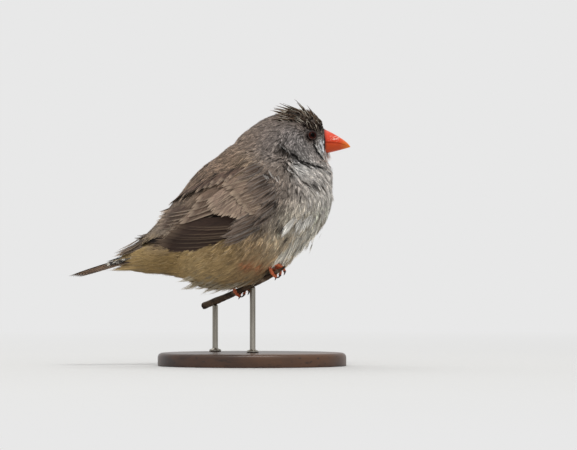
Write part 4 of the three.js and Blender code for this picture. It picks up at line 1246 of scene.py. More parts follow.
# inward brings both sides closer to the middle; a line is x, z of each of its points in turn
lockFields = ("width", "level", "copies", "jitter", "colour", "tip", "barbs", "kind", "slot", "inward",
              "lines")
namedLocks = {
    # near-black strands along the fold under the cheek: painted shade in the crease
    "foldShadowStrands": (0.7, (0.45, 0.55), 3, 0.07, "#0e0a09", "#120e0c", 6, "under", "neck", 1.0,
        stretches(cheekFold, 8, 0.24)),
    "foldTips": (0.5, (0.6, 0.85), 1, 0.25, "#8d8783", "#b9b4b0", 4, "face", "head", 1.0,
        crossing(cheekFold, 24, 1.5, 0.1, 298)),
    "eyeRim": (0.6, (0.12, 0.35), 2, 0.08, "#4e4540", "#8f8782", 4, "face", "head", 1.0,
        roundEye(range(96, 330, 8), 1.52, 1.6, (-0.5, -0.6))),
    # near-black locks over the eye: painted shade under the brow
    "browShadowRim": (0.5, (0.1, 0.35), 2, 0.1, "#1d1613", "#4a3f38", 4, "under", "head", 1.0,
        roundEye(range(20, 100, 10), 1.7, 1.3, (-0.9, 0.3))),
    "foreheadDark": (0.8, (0.25, 0.8), 4, 0.45, "#120c0a", "#2b1f19", 5, "crest", "head", 1.0, [
        (21.6, 82, 20, 85), (22.6, 82, 21.2, 85.2), (23.6, 82.2, 22.4, 84.8), (24.4, 82.6, 23.4, 84.6),
        (20.6, 82.6, 18.8, 85.2), (19.2, 83.2, 17.2, 85.4),
    ]),
    "foreheadPale": (0.22, (0.5, 0.9), 3, 0.5, "#8f7d6b", "#efe3cf", 2, "face", "head", 1.0, [
        (22, 81.6, 20.8, 84.2), (23.2, 81.4, 22.2, 83.8), (24.2, 81.6, 23.4, 83.6),
        (20.6, 82.8, 19.2, 84.8),
    ]),
    "loreTicks": (0.25, (0.4, 0.6), 3, 0.4, "#5a544f", "#8b847e", 2, "face", "head", 1.0, [
        (24, 78.6, 23.7, 77.2), (24.6, 77, 24.4, 75.4), (23.4, 77.4, 23.6, 75.8), (24, 75.6, 24.4, 74.2),
    ]),
    "tearTicks": (0.55, (0.45, 0.7), 2, 0.12, "#0b0909", "#0b0909", 5, "under", "head", 1.0,
        crossing(tearLine, 8, 0.7, 1, 306)),
    "tearLight": (0.3, (0.7, 0.9), 2, 0.14, "#c9c5c0", "#f2f0ec", 3, "face", "head", 1.0,
        crossing([(21.9, 76.9), (24.7, 72.5)], 8, 0.6, 0.9, 306)),
    # dark strands in the gaps between locks: painted shade
    "shadowGapStrands": (0.55, (0.45, 0.6), 3, 0.25, "#3a322e", "#57504b", 4, "under", "trunk", 1.0, [
        (21.2, 63.6, 23.8, 60), (23.8, 63, 25.4, 59.8), (16.8, 64.3, 20.8, 61.6), (15.4, 62, 15.9, 59.8),
        (11.6, 48.6, 8.8, 45.2), (8.6, 57.4, 7.4, 54.4), (4.4, 67.2, 9.4, 64.2),
        (10.6, 69.8, 12.4, 68, 15.4, 66.3), (12.6, 45.2, 9.6, 41.4), (16.8, 43, 14.6, 38.8),
    ]),
    "flicks": (2.0, (0.6, 1.3), 3, 0.35, "#d2cdc4", "#fbf9f4", 12, "plume", "trunk", 1.0, [
        (14.9, 51.6, 12.6, 48.6, 9.6, 45), (21.4, 52.8, 20, 50.6, 19, 48.2),
        (19.6, 52.4, 18.4, 50.2, 17.2, 47.4), (17.6, 51.6, 16.2, 48.8, 14.8, 46.6),
    ]),
    "shoulderCover": (1.9, (0.1, 0.95), 6, 1.0, "#5b4c42", "#7a695c", 12, "plume", "trunk", 1.0, [
        (5.5, 67, -3.5, 62), (7.5, 64, -1.5, 58.6), (8.5, 61.5, 0, 55.6), (9, 58.5, 1, 52.6),
        (7.6, 55, 0.2, 49.2), (3.5, 69.4, -5.5, 65), (4.6, 54, -5.5, 48.6), (2.6, 52.6, -8, 48),
        (1.4, 50, -9.5, 45.4), (0.6, 47.6, -10.5, 43.4),
    ]),
    # dark strands in the gaps between the shoulder and scapular locks: painted shade
    "shoulderShadowGaps": (0.5, (0.6, 0.95), 3, 0.9, "#231a16", "#3b2f28", 3, "under", "trunk", 1.0, [
        (6, 64.6, 0.4, 61.4), (7.4, 61.6, 2.6, 58), (6.8, 57.4, 2.6, 53.8), (3.4, 52.2, -1.6, 48.4),
        (-10.5, 67, -17, 62.6), (-15.5, 64.6, -21, 60.4), (-4, 70.6, -10, 66.6),
    ]),
    "whiteHairs": (0.5, (0.4, 0.9), 2, 0.4, "#c8c2bb", "#f3f0ea", 3, "plume", "neck", 1.0, [
        (4.6, 67, 6.2, 64.6), (6.6, 67.2, 8.2, 64.4), (8.4, 66.6, 9.8, 64), (12.2, 68.4, 13.8, 66.2),
    ]),
    "fringe": (2.1, (0.3, 0.9), 5, 0.6, "#d6d0c2", "#f1ede2", 14, "plume", "trunk", 1.0, [
        (19.5, 47.5, 17.6, 42.5, 15, 37.2), (21, 47.8, 19.6, 43.8, 18, 39.8),
        (16.4, 45.6, 14.4, 40.6, 11.2, 34.9), (14.6, 43.6, 11.8, 38.4, 9.8, 34.8),
        (12, 41.4, 9.4, 37.4, 6.6, 34.6), (22.8, 50.6, 22, 46.8, 20.6, 43),
        (18.4, 43.6, 17, 40.4, 15.6, 37.6), (20.2, 44.2, 19.6, 42, 18.6, 39.8),
    ]),
    "contourHair": (0.7, (0.3, 1.2), 4, 0.8, "#b6b0a9", "#dedad4", 5, "plume", "trunk", 1.0, [
        (24.6, 57.5, 25.6, 53.5), (24, 54, 24.4, 50), (25.4, 62.5, 27.2, 59), (23.2, 46.5, 21.8, 43),
        (24.8, 66.5, 27.4, 63.6), (24.6, 69.6, 27.4, 66.6),
    ]),
    "chinHairs": (1.2, (0, 0.3), 9, 0.3, "#c6b1a6", "#e6d6cc", 6, "downy", "head", 0.6, [
        (24.6, 75.2, 25.6, 70), (25.4, 75.2, 26.6, 70.4), (26, 75.2, 27.4, 71.4),
    ]),
    "loreWhite": (0.6, (0.4, 0.6), 5, 0.3, "#dde1e4", "#ffffff", 5, "face", "head", 1.0, [
        (24.2, 78.6, 24, 76.8), (24.6, 77.4, 24.4, 75.4), (24, 76.6, 24.4, 74.4), (24.8, 76, 24.8, 74),
    ]),
    "undertailTufts": (1.9, (0, 0.1), 6, 0.45, "#a98c5c", "#c9b48a", 12, "downy", "rump", 1.0, [
        (-36, 35.2, -43, 34.6, -50, 34.2), (-38, 37.2, -44, 36.2, -48.6, 35.2),
    ]),
    "uppertailTufts": (2.0, (0, 0.3), 5, 0.5, "#6e5f52", "#8d7c6b", 12, "brown", "rump", 1.0, [
        (-36.5, 44.4, -42, 41.2, -47, 38.7), (-38.6, 41.6, -44, 39.4, -48.4, 37.6),
    ]),
    "ventTufts": (1.5, (0.2, 0.8), 6, 0.9, "#b3a283", "#e3dcc9", 8, "downy", "thigh", 1.0, [
        (-18, 33.6, -21.6, 30.6, -25.2, 30), (-14.6, 31.8, -19, 28.4, -22.8, 28.6),
        (-11, 31, -15.4, 27.6, -19.2, 28.2), (-8, 30.4, -12.6, 27, -17.2, 26.2),
        (-4, 30.4, -8.6, 27.2, -12.4, 26.4), (0.5, 31.6, -4.2, 28.2, -9.4, 26.4),
    ]),
    "bellyHairs": (0.9, (0.2, 0.9), 7, 1.1, "#7f6d52", "#cdbf9f", 4, "downy", "thigh", 1.0, [
        (2, 31.6, -2.6, 27.2), (6, 33.8, 2, 29.4), (9, 36, 5.4, 32.4), (-6, 30, -11.4, 25.6),
        (-12, 30, -17.4, 25.8),
    ]),
}


def namedShafts(spec, stations=7):
    flats = []
    for line in spec["lines"]:
        for _ in range(spec["copies"]):
            flats.append(stepsAlong(line, stations + 1, 1.1) + dice.normal(0, spec["jitter"], 2))
    flats = np.stack(flats + flats, 1)
    count = flats.shape[1]
    side = np.repeat([-1.0, 1.0], count // 2)
    path, up = [], []
    for k in range(stations + 1):
        x, z = flats[k, :, 0], flats[k, :, 1]
        spot, normal = sideSpot(x, z, 0.0, side)
        level = spec["level"][0] + (spec["level"][1] - spec["level"][0]) * (k / stations) ** 1.5
        spot = spot + normal * level
        if k:
            off = coatField(np.stack([x, x * 0, z], -1)) > -0.8
            loose = np.stack([x, path[-1][:, 1] * 0.96, z], -1)
            spot, normal = np.where(off[:, None], loose, spot), np.where(off[:, None], up[-1], normal)
        path.append(spot)
        up.append(normal)
    path, up = np.array(path), np.array(up)
    path[..., 1] *= spec.get("inward", 1.0)
    longest = pathLengths(path)
    width = spec["width"] * dice.uniform(0.75, 1.2, count)
    shafts = shaftsFrom(path, up, longest / 1.1, longest, width, 0.5, 0.12)
    shafts["tint"] = linearColour(spec["colour"]) * dice.uniform(0.85, 1.15, count)[:, None]
    shafts["tipTint"] = linearColour(spec["tip"]) * dice.uniform(0.85, 1.15, count)[:, None]
    return {**shafts, "edgeTint": shafts["tipTint"], "edgeShare": np.zeros(count)}   # no pale edges


for name, row in namedLocks.items():
    spec = named(lockFields, row)
    form = {**plumeForm, "barbs": spec["barbs"], "parts": 4, "stagger": 0.25}
    coatTotal += featherPiece(name, namedShafts(spec), form, spec["kind"])
report("named locks")


# Wings: rows of vanes, laid out in the side view from the first feather of a row to the last

vaneForm = {"from": 0.02, "to": 0.93, "advance": 0.2, "ragged": 0.006, "shoulder": 0.2, "blunt": 5.0,
            "round": 0.5, "webs": (0.85, 1.15), "clump": (3, 0.08), "tousle": 0.01, "barbWidth": 0.3,
            "barbWidthAt": 4.0, "sweep": 0.9, "tipWide": 0.45, "cup": 0.12, "louvre": 0.03,
            "toneShare": 0.75}
# the lines of the roots and of the tips, how many, width, level of the first and step to the next
rowFields = ("root", "tip", "count", "width", "level", "step", "colour", "barbs", "bow", "roll", "kind",
             "slot")
wingRows = {
    "primaries": (
        [(-8, 52.5), (-6, 46.5)], [(-30, 48.6), (-39.6, 45)], 7, 3.4, -0.3, -0.04, "#1d1512", 110, -0.8,
        0.05, "flight", "primaries"),
    "secondaries": (
        [(1.5, 52.5), (-1, 45)], [(-25, 50.4), (-34, 42)], 8, 3.6, 0.05, -0.03, "#372922", 120, -0.9, 0.06,
        "flight", "secondaries"),
    "tertials": (
        [(-5, 63.6), (-7, 57.5)], [(-18.8, 58.6), (-18.8, 56.8), (-24.6, 51)], 4, 3.8, 0.45, -0.08,
        "#6b594c", 110, 0.5, 0.08, "covert", "secondaries"),
    "longTertials": (
        [(-9, 59.5), (-11, 55)], [(-30.5, 53.4), (-33.5, 48.4)], 5, 3.0, 0.3, -0.06, "#54443a", 110, -0.3,
        0.08, "covert", "secondaries"),
    "greaterCoverts": (
        [(-2.8, 65.6), (1.6, 62), (5, 56)],
        [(-14.6, 57.2), (-13.8, 54.6), (-10.6, 53), (-6, 52.2), (-2, 51)], 14, 2.5, 0.45, -0.02, "#867365",
        80, 0.3, 0.12, "covert", "coverts"),
    "medianCoverts": (
        [(3, 68.6), (6, 63), (7.5, 57)], [(-9.8, 63.2), (-5.6, 58.8), (-0.6, 53.6)], 12, 2.6, 0.5, -0.02,
        "#786658", 70, 0.2, 0.1, "covert", "coverts"),
    "scapulars": (
        [(0.5, 72), (-9.5, 68.6), (-20.5, 62.6)], [(-8, 65.6), (-18.4, 61), (-29, 56.4)], 16, 2.3, 0.5, 0.0,
        "#5c4a40", 60, 0.3, 0.12, "covert", "coverts"),
}


def rowShafts(row, side, stations=9):
    root, tip = stepsAlong(row["root"], row["count"]), stepsAlong(row["tip"], row["count"])
    root = root + dice.normal(0, 0.2, root.shape)
    tip = tip + dice.normal(0, 0.35, tip.shape)
    level = row["level"] + row["step"] * np.arange(row["count"])
    over = np.stack([-(tip - root)[:, 1], (tip - root)[:, 0]], -1)
    over = over / np.linalg.norm(over, axis=1, keepdims=True)
    path, up = [], []
    for k in range(stations + 1):
        t = k / stations * 1.08
        flat = root + (tip - root) * t - over * (row["bow"] * 4 * t * (1 - t))
        spot, normal = sideSpot(flat[:, 0], flat[:, 1], 0.0, side)
        path.append(spot + normal * (level - 1.6 * max(1 - t, 0) ** 2)[:, None])
        up.append(normal)
    path, up = np.array(path), np.array(up)
    longest = pathLengths(path)
    count = row["count"]
    tint = linearColour(row["colour"]) * dice.uniform(0.88, 1.12, count)[:, None]
    shafts = shaftsFrom(path, up, longest / 1.08, longest, np.full(count, row["width"]), 0.1, 0.02)
    return {**shafts, "roll": shafts["roll"] - side * row["roll"], "tint": tint}


def makeWings():
    total = 0
    wingNodes = {"primaries": "primaries", "secondaries": "secondaries", "greaterCoverts": "coverts"}
    for side, label in bothSides:
        for name, values in wingRows.items():
            row = named(rowFields, values)
            form = {**vaneForm, "barbs": row["barbs"], "parts": 2}
            shafts = rowShafts(row, side)
            covers = ["wing_" + label.lower() + "_" + wingNodes[name]] if name in wingNodes else ()
            total += featherPiece(name + label, shafts, form, row["kind"], covers)
    return total


coatTotal += makeWings()
report("wings")


# Tail

tailSpec = {"root": (-33.0, 0.0, 39.9), "droop": 15.8, "length": 30.4, "perSide": 6, "spread": 1.75,
            "first": 0.9, "past": 1.06, "width": 5.0, "top": 0.5, "stack": 0.22, "step": 0.6, "bow": 2.4,
            "colour": "#6e5848", "under": "#372c26"}

tailDroop = math.radians(tailSpec["droop"])
tailBack = np.array([-math.cos(tailDroop), 0, -math.sin(tailDroop)])
tailOver = np.array([-math.sin(tailDroop), 0, math.cos(tailDroop)])


def makeTail(stations=8):
    over, past = unit(tailOver), tailSpec["past"]
    paths, ups, lengths = [], [], []
    for i in range(tailSpec["perSide"]):
        for side in (1, -1):
            turn = math.radians(tailSpec["first"] + tailSpec["spread"] * i) * side
            ahead = np.array([tailBack[0] * math.cos(turn), math.sin(turn), tailBack[2]])
            longest = tailSpec["length"] - tailSpec["step"] * i
            height = tailSpec["top"] - tailSpec["stack"] * i - (0.05 if side < 0 else 0)
            t = np.linspace(0, past, stations + 1)[:, None]
            rise = over * (height + tailSpec["bow"] * t * (1 - t))
            paths.append(np.array(tailSpec["root"]) + ahead * longest * t + rise)
            ups.append(np.tile(over + np.array([0, 0.06 * side * i / 6, 0]), (stations + 1, 1)))
            lengths.append(longest)
    count, lengths = len(lengths), np.array(lengths)
    shafts = shaftsFrom(np.stack(paths, 1), unit(np.stack(ups, 1)), lengths, lengths * past,
                        np.full(count, tailSpec["width"]), 0.3, 0.01)
    low = (np.arange(count)[:, None] // 2 > 3).astype(float)
    shafts["tint"] = linearColour(tailSpec["colour"]) * (1 - low) + linearColour(tailSpec["under"]) * low
    form = {**vaneForm, "barbs": 130, "parts": 2, "ragged": 0.02, "clump": (6, 0.6), "barbWidth": 0.42,
            "tipWide": 0.75, "cup": 0.45}
    return featherPiece("tailFeathers", shafts, form, "tail", ["tail"])

barredSpec = {"rows": 5, "halfWidth": 3.4, "length": (7.6, 9.8), "width": (3.0, 3.8), "past": 1.2,
              "sag": 1.4, "colour": "#5a544e"}


def makeBarredCoverts(stations=6):
    plan, back, over = barredSpec, tailBack, tailOver
    paths, ups, lengths = [], [], []
    for row in range(plan["rows"]):
        for y in np.linspace(-plan["halfWidth"], plan["halfWidth"], 6 - row % 2):
            rise = math.radians(4 + dice.uniform(0, 12))
            longest = dice.uniform(*plan["length"])
            root = np.array(tailSpec["root"]) + back * (row * 2.3 + 0.4) + over * (1.75 - 0.2 * row)
            root = root + np.array([0, y, -0.06 * y * y])
            ahead = unit(back * math.cos(rise) + over * math.sin(rise) + np.array([0, y * 0.01, 0]))
            t = np.linspace(0, plan["past"], stations + 1)[:, None]
            paths.append(root + ahead * longest * t - over * plan["sag"] * t * t)
            ups.append(np.tile(unit(over + np.array([0, y * 0.12, 0])), (stations + 1, 1)))
            lengths.append(longest)
    count, lengths = len(lengths), np.array(lengths)
    width = dice.uniform(*plan["width"], count)
    reach = lengths * plan["past"]
    shafts = shaftsFrom(np.stack(paths, 1), np.stack(ups, 1), lengths, reach, width, 0.5, 0.1)
    shafts["tint"] = np.tile(linearColour(plan["colour"]), (count, 1))
    form = {**softForm, "barbs": 20, "parts": 2, "barbWidth": 0.26, "barbWidthAt": 3.0, "round": 0.4}
    return featherPiece("barredCoverts", shafts, form, "barred", ["uppertail_coverts"])


coatTotal += makeTail() + makeBarredCoverts()
report("tail")


# Bill

gapeSpec = {"x": 25.15, "thin": 0.16, "thick": 0.52, "around": 96, "sides": 10,
            "colours": ("#0b0708", "#2a1518")}


def makeGape():
    # bare dark skin round the root of the bill, widest at the corner of the mouth
    spec = gapeSpec
    top, low, wide, gape = (float(v) for v in billSection(np.array(spec["x"])))
    onward = np.array([1.0, 0.0, 0.0])
    b = circle(spec["sides"])
    rings = []
    for a in circle(spec["around"]):
        reach = top - gape if math.sin(a) > 0 else gape - low
        out = np.array([0.0, math.cos(a), math.sin(a)])
        corner = math.exp(-(math.sin(a) / 0.45) ** 2)
        middle = np.array([spec["x"] - 0.25 * corner, wide * math.cos(a), gape + reach * math.sin(a)])
        thick = spec["thin"] + (spec["thick"] - spec["thin"]) * corner + 0.03 * math.sin(a * 17)
        ring = middle + np.outer(np.cos(b), onward) * thick * 1.2
        rings.append(ring + np.outer(np.sin(b), out) * thick * 0.8)
    faces = closedQuads(spec["around"], spec["sides"])
    mesh = facesOut(meshFrom("gapeSkin", np.array(rings).reshape(-1, 3), faces))
    material = speckled("gapeSkin", 2400.0, spec["colours"], (0.5, 0.7), 0.5, 0.08, Specular_IOR_Level=0.3)
    addPiece("gapeSkin", mesh, material)


# the culmen colour is a painted highlight along the top, the scuff colour pale scuffing and partly painted
# highlight, the root colour painted shade where the bill meets the feathers
billLook = {"upper": "#d93f1e", "culmen": "#e5604a", "lower": "#c24205", "tip": "#ec8d2c",
            "scuffAndHighlight": "#f0d0c2", "streak": "#b3371f", "root": "#6e2414", "corner": "#120a0b"}


def billMaterial():
    # the edges of the marks are in metres, along x and z
    material, tree, shader = newMaterial("billHorn", IOR=1.45, Coat_Weight=0.05, Coat_Roughness=0.22,
                                         Specular_IOR_Level=0.35, Subsurface_Scale=1.0,
                                         Subsurface_Weight=0.05, Subsurface_Radius=(0.001, 0.0004, 0.0002))
    x, _, z = splitXyz(tree, objectPlace(tree))
    colour = twoTone(tree, z, 0.0772, 0.0790, billLook["lower"], billLook["upper"])
    # the top of the upper mandible lighter: painted highlight
    ridge = times(tree, spread(tree, z, 0.0795, 0.0825), spread(tree, x, 0.0235, 0.027, 1.0, 0.6))
    colour = tinted(tree, ridge, colour, billLook["culmen"])
    colour = tinted(tree, times(tree, spread(tree, x, 0.0305, 0.0343), 0.8), colour, billLook["tip"])
    streaks = noiseValue(tree, 260.0, 4.0, stretch=(0.35, 1.0, 1.0))
    colour = tinted(tree, spread(tree, streaks, 0.5, 0.75, 0.0, 0.35), colour, billLook["streak"])
    # pale scuffs near the middle of the upper mandible, partly painted highlight
    near = band(tree, x, (0.0262, 0.0282), (0.0305, 0.0325))
    near = times(tree, near, band(tree, z, (0.0782, 0.0792), (0.0800, 0.0808)))
    scuffAndHighlight = noiseValue(tree, 1500.0, 3.0, stretch=(0.8, 1.0, 1.3))
    scuffAndHighlight = times(tree, spread(tree, scuffAndHighlight, 0.5, 0.62), near)
    colour = tinted(tree, times(tree, scuffAndHighlight, 0.65), colour, billLook["scuffAndHighlight"])
    # darker towards the root, where the bill goes in under the feathers: painted shade
    colour = tinted(tree, spread(tree, x, 0.0251, 0.0263, 0.8, 0.0), colour, billLook["root"])
    corner = band(tree, z, (0.0752, 0.0764), (0.0792, 0.0802))
    corner = times(tree, corner, spread(tree, x, 0.0254, 0.0259, 1.0, 0.0))
    colour = tinted(tree, corner, colour, billLook["corner"])
    rough = plus(tree, spread(tree, streaks, 0.3, 0.7, 0.3, 0.42), times(tree, scuffAndHighlight, 0.3))
    finishMaterial(tree, shader, colour, rough, grained(tree, 900.0, (0.3, 1.0, 1.0)), 0.25, 0.08)
    return material


def loftMesh(name, rings):
    # rings (n, corners, 3) to a closed mesh with fan caps
    n, corners, _ = rings.shape
    points = rings.reshape(-1, 3)
    faces = []
    index = np.arange(corners)
    nextIndex = (index + 1) % corners
    for r in range(n - 1):
        a, b = r * corners + index, r * corners + nextIndex
        faces.append(np.stack([a, b, b + corners], -1))
        faces.append(np.stack([a, b + corners, a + corners], -1))
    points = np.concatenate([points, rings[0].mean(0)[None], rings[-1].mean(0)[None]])
    hub, last = n * corners, n * corners + 1
    faces.append(np.stack([nextIndex, index, np.full(corners, hub)], -1))
    end = (n - 1) * corners
    faces.append(np.stack([end + index, end + nextIndex, np.full(corners, last)], -1))
    return meshFrom(name, points, np.concatenate(faces))


def closedQuads(n, corners):
    # faces of n rings of corners that close both ways
    index = np.arange(n * corners).reshape(n, corners)
    onward = np.roll(index, -1, 0)
    return np.stack([index, onward, np.roll(onward, -1, 1), np.roll(index, -1, 1)], -1).reshape(-1, 4)


def facesOut(mesh):
    work = bmesh.new()
    work.from_mesh(mesh)
    bmesh.ops.recalc_face_normals(work, faces=work.faces)
    work.to_mesh(mesh)
    work.free()
    return mesh

# node, side of the gape, share of the width, roundness of the sides and of the outer line, seam, hollow
billHalves = {
    "billUpper": ("bill_upper", 1, 1.0, 0.92, 0.86, 0.1, 0.25),
    "billLower": ("bill_lower", -1, 0.955, 0.9, 0.9, 0.02, 0.12),
}


def makeBill():
    material = billMaterial()
    stations, arc, root = 44, 28, 22.4
    angle = np.linspace(0, math.pi, arc)
    for name, (node, hand, share, sideRound, outRound, seam, hollow) in billHalves.items():
        rings = []
        for i in range(stations + 1):
            x = root + (billTip["x"] - root) * (1 - (1 - i / stations) ** 1.5)
            top, low, wide, gape = billSection(np.array(x))
            wide = wide * share
            outward = top - gape + seam if hand > 0 else low - gape
            y = hand * wide * np.sign(np.cos(angle)) * np.abs(np.cos(angle)) ** sideRound
            z = gape - seam + outward * np.sin(angle) ** outRound
            u = np.linspace(-hand, hand, 10)[1:-1]
            inner = np.stack([u * wide, gape + hollow * (1 - u ** 2)], -1)
            ring = np.concatenate([np.stack([y, z], -1), inner])
            rings.append(np.concatenate([np.full((len(ring), 1), x), ring], 1))
        addPiece(name, facesOut(loftMesh(name, np.array(rings))), material, [node])


makeBill()
makeGape()
report("bill")


# Eyes

eyeLook = {"iris": "#1f0b08", "irisLight": "#431a12", "irisRim": "#120504", "pupil": "#000000",
           "lid": "#1b100e", "lidEdge": "#38221d", "lidLow": "#7a574c"}


def eyeAxis(side):
    spot = np.array([[eyeSpec["x"], side * (eyeSpec["y"] + 1.15), eyeSpec["z"]]])
    normal = unit(coatSlope(spot))[0]
    return unit(normal + np.array([0.0, side * 0.35, 0.0]))


def eyeMaterial(side, label):
    # the rings are in millimetres off the eye's axis
    material, tree, shader = newMaterial("eye" + label, Coat_Weight=0.1, Coat_Roughness=0.02, IOR=1.34,
                                         Specular_IOR_Level=0.0)
    middle = Vector(eyeMiddle(side)) * metre
    rel = vectorMaths(tree, "SUBTRACT", {0: objectPlace(tree), 1: middle})["Vector"]
    forward = vectorMaths(tree, "DOT_PRODUCT", {0: rel, 1: Vector(eyeAxis(side))})["Value"]
    long = vectorMaths(tree, "LENGTH", {0: rel})["Value"]
    off = maths(tree, "SQRT", minus(tree, times(tree, long, long), times(tree, forward, forward)))
    off = times(tree, off, 1 / metre)
    iris = twoTone(tree, noiseValue(tree, 1400.0, 3.0), 0.35, 0.7, eyeLook["iris"], eyeLook["irisLight"])
    iris = tinted(tree, spread(tree, off, 1.2, 1.42), iris, eyeLook["irisRim"])
    colour = mixColour(tree, spread(tree, off, 0.72, 0.95), rgba(eyeLook["pupil"]), iris)
    finishMaterial(tree, shader, colour, spread(tree, off, 0.8, 0.95, 0.08, 0.3))
    return material


def lidMaterial():
    material, tree, shader = newMaterial("lidSkin", Specular_IOR_Level=0.4, Roughness=0.5)
    grains = noiseValue(tree, 2600.0, 2.0)
    colour = twoTone(tree, grains, 0.4, 0.65, eyeLook["lid"], eyeLook["lidEdge"])
    # darker above and pinker below the eye's middle: the dark upper rim is partly painted shade under the
    # brow
    z = splitXyz(tree, objectPlace(tree))[2]
    low = spread(tree, z, (eyeSpec["z"] - 1.6) * metre, (eyeSpec["z"] - 0.3) * metre, 0.75, 0.0)
    colour = tinted(tree, low, colour, eyeLook["lidLow"])
    finishMaterial(tree, shader, colour, spread(tree, grains, 0.3, 0.7, 0.42, 0.62), grains, 0.5, 0.1)
    return material


def frameOn(axis):
    right = unit(np.cross([0.0, 0.0, 1.0], axis))
    return right, unit(np.cross(axis, right))


def makeEyes():
    lids = lidMaterial()
    for side, label in bothSides:
        centre = eyeMiddle(side)
        axis = eyeAxis(side)
        right, over = frameOn(axis)
        rings = []
        for i in range(40):
            polar = math.pi * (0.005 + 0.99 * i / 39)
            bulge = 1 + 0.035 * math.exp(-(polar / 0.55) ** 2)   # cornea
            angle = circle(64)
            ring = (centre + axis * math.cos(polar) * eyeSpec["radius"] * bulge
                    + (np.outer(np.cos(angle), right) + np.outer(np.sin(angle), over))
                    * math.sin(polar) * eyeSpec["radius"] * bulge)
            rings.append(ring)
        mesh = facesOut(loftMesh("eye" + label, np.array(rings)))
        addPiece("eye" + label, mesh, eyeMaterial(side, label), ["eye_" + label.lower()])
        makeLid(label, centre, axis, right, over, lids)


def makeLid(label, centre, axis, right, over, material):
    # a beaded ring of bare skin round the eye, thicker above
    opening = eyeSpec["opening"]
    height = math.sqrt(eyeSpec["radius"] ** 2 - opening ** 2)
    angle = circle(120)
    rings = []
    for a in angle:
        out = right * math.cos(a) * 1.05 + over * math.sin(a) * 0.97
        thick = 0.13 + 0.05 * math.sin(a) + 0.02 * math.sin(a * 22)
        middle = centre + axis * (height + 0.02) + out * (opening + 0.12)
        b = circle(12)
        ring = middle + np.outer(np.cos(b), unit(out)) * thick * 1.25
        rings.append(ring + np.outer(np.sin(b), axis) * thick)
    mesh = facesOut(meshFrom("lid" + label, np.array(rings).reshape(-1, 3), closedQuads(120, 12)))
    addPiece("lid" + label, mesh, material)


makeEyes()
report("eyes")


# Legs, twig and stand

def tubeMesh(name, path, radius, sides, shape=None):
    path = np.asarray(path)
    ahead = unit(np.gradient(path, axis=0))
    right = unit(np.cross(ahead[0], [0.3, 0.2, 1.0]))
    angle = circle(sides)
    rings = []
    for k in range(len(path)):
        right = unit(right - ahead[k] * (right @ ahead[k]))
        over = np.cross(ahead[k], right)
        r = radius[k] if shape is None else radius[k] * shape(k, angle)
        rings.append(path[k] + (np.outer(np.cos(angle) * r, right) + np.outer(np.sin(angle) * r, over)))
    return facesOut(loftMesh(name, np.array(rings)))


def throughPoints(points, count):
    # even steps along a smooth curve through a few points
    points = np.asarray(points, float)
    gaps = lengthOf(np.diff(points, axis=0)) ** 0.5
    knots = np.concatenate([[0], np.cumsum(gaps)])
    slopes = np.gradient(points, knots, axis=0)
    t = np.linspace(0, knots[-1], count * 4)
    i = np.clip(np.searchsorted(knots, t, "right") - 1, 0, len(points) - 2)
    h = (knots[i + 1] - knots[i])[:, None]
    s = ((t - knots[i])[:, None]) / h
    curve = ((2 * s ** 3 - 3 * s ** 2 + 1) * points[i] + (s ** 3 - 2 * s ** 2 + s) * h * slopes[i]
             + (3 * s ** 2 - 2 * s ** 3) * points[i + 1] + (s ** 3 - s ** 2) * h * slopes[i + 1])
    run = runAlong(curve)
    even = np.linspace(0, run[-1], count)
    return np.stack([np.interp(even, run, curve[:, k]) for k in range(3)], -1)


def nodePoints(name):
    return meshPoints(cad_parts[name].data) / metre


def nodeRings(name, gap=0.8):
    # middles and radii of a straight tube's rings, read from its CAD node
    points = nodePoints(name)
    centre = points.mean(0)
    axis = np.linalg.svd(points - centre, full_matrices=False)[2][0]
    run = (points - centre) @ axis
    order = np.argsort(run)
    cuts = np.nonzero(np.diff(run[order]) > gap)[0] + 1
    groups = [points[g] for g in np.split(order, cuts)]
    middles = np.array([(g.min(0) + g.max(0)) / 2 for g in groups])
    radii = np.array([lengthOf(g - m).max() for g, m in zip(groups, middles)])
    return middles, radii


legSpec = {"ankleRight": (-6.0, -12.4, 33.8), "ankleLeft": (-14.5, 7.4, 35.2), "shank": 0.62, "toe": 0.62,
           "claw": 0.36, "clearance": 0.3, "arch": 1.25, "clawArc": 44, "scute": 0.62}
# where a toe starts and ends round the twig in degrees, its shift along the twig at the tip and at the root
toeFields = ("start", "end", "spread", "root")
toePlans = {
    "middle": (-16, 142, 0.2, 0.0),
    "inner": (-24, 118, -2.5, -0.85),
    "outer": (-24, 118, 2.6, 0.85),
    "hind": (-62, -168, -0.6, 0.0),
}

legLook = {"skin": "#b8512b", "light": "#d97a4a", "crack": "#7a2f18", "claw": ("#1f1512", "#4a352a")}


def legMaterial():
    material, tree, shader = newMaterial("legSkin", Specular_IOR_Level=0.45, Subsurface_Weight=0.1,
                                         Subsurface_Scale=1.0, Subsurface_Radius=(0.0008, 0.0003, 0.00015))
    blotch = noiseValue(tree, 900.0, 3.0)
    colour = twoTone(tree, blotch, 0.35, 0.7, legLook["skin"], legLook["light"])
    cells = addNode(tree, "ShaderNodeTexVoronoi", {"Scale": 2300.0}, feature="DISTANCE_TO_EDGE").outputs[0]
    colour = tinted(tree, spread(tree, cells, 0.0, 0.12, 0.7, 0.0), colour, legLook["crack"])
    finishMaterial(tree, shader, colour, spread(tree, blotch, 0.3, 0.7, 0.42, 0.62), cells, 0.4, 0.12)
    return material


twigMiddles, twigRadii = nodeRings("twig")
if twigMiddles[0, 0] > twigMiddles[-1, 0]:
    twigMiddles, twigRadii = twigMiddles[::-1], twigRadii[::-1]


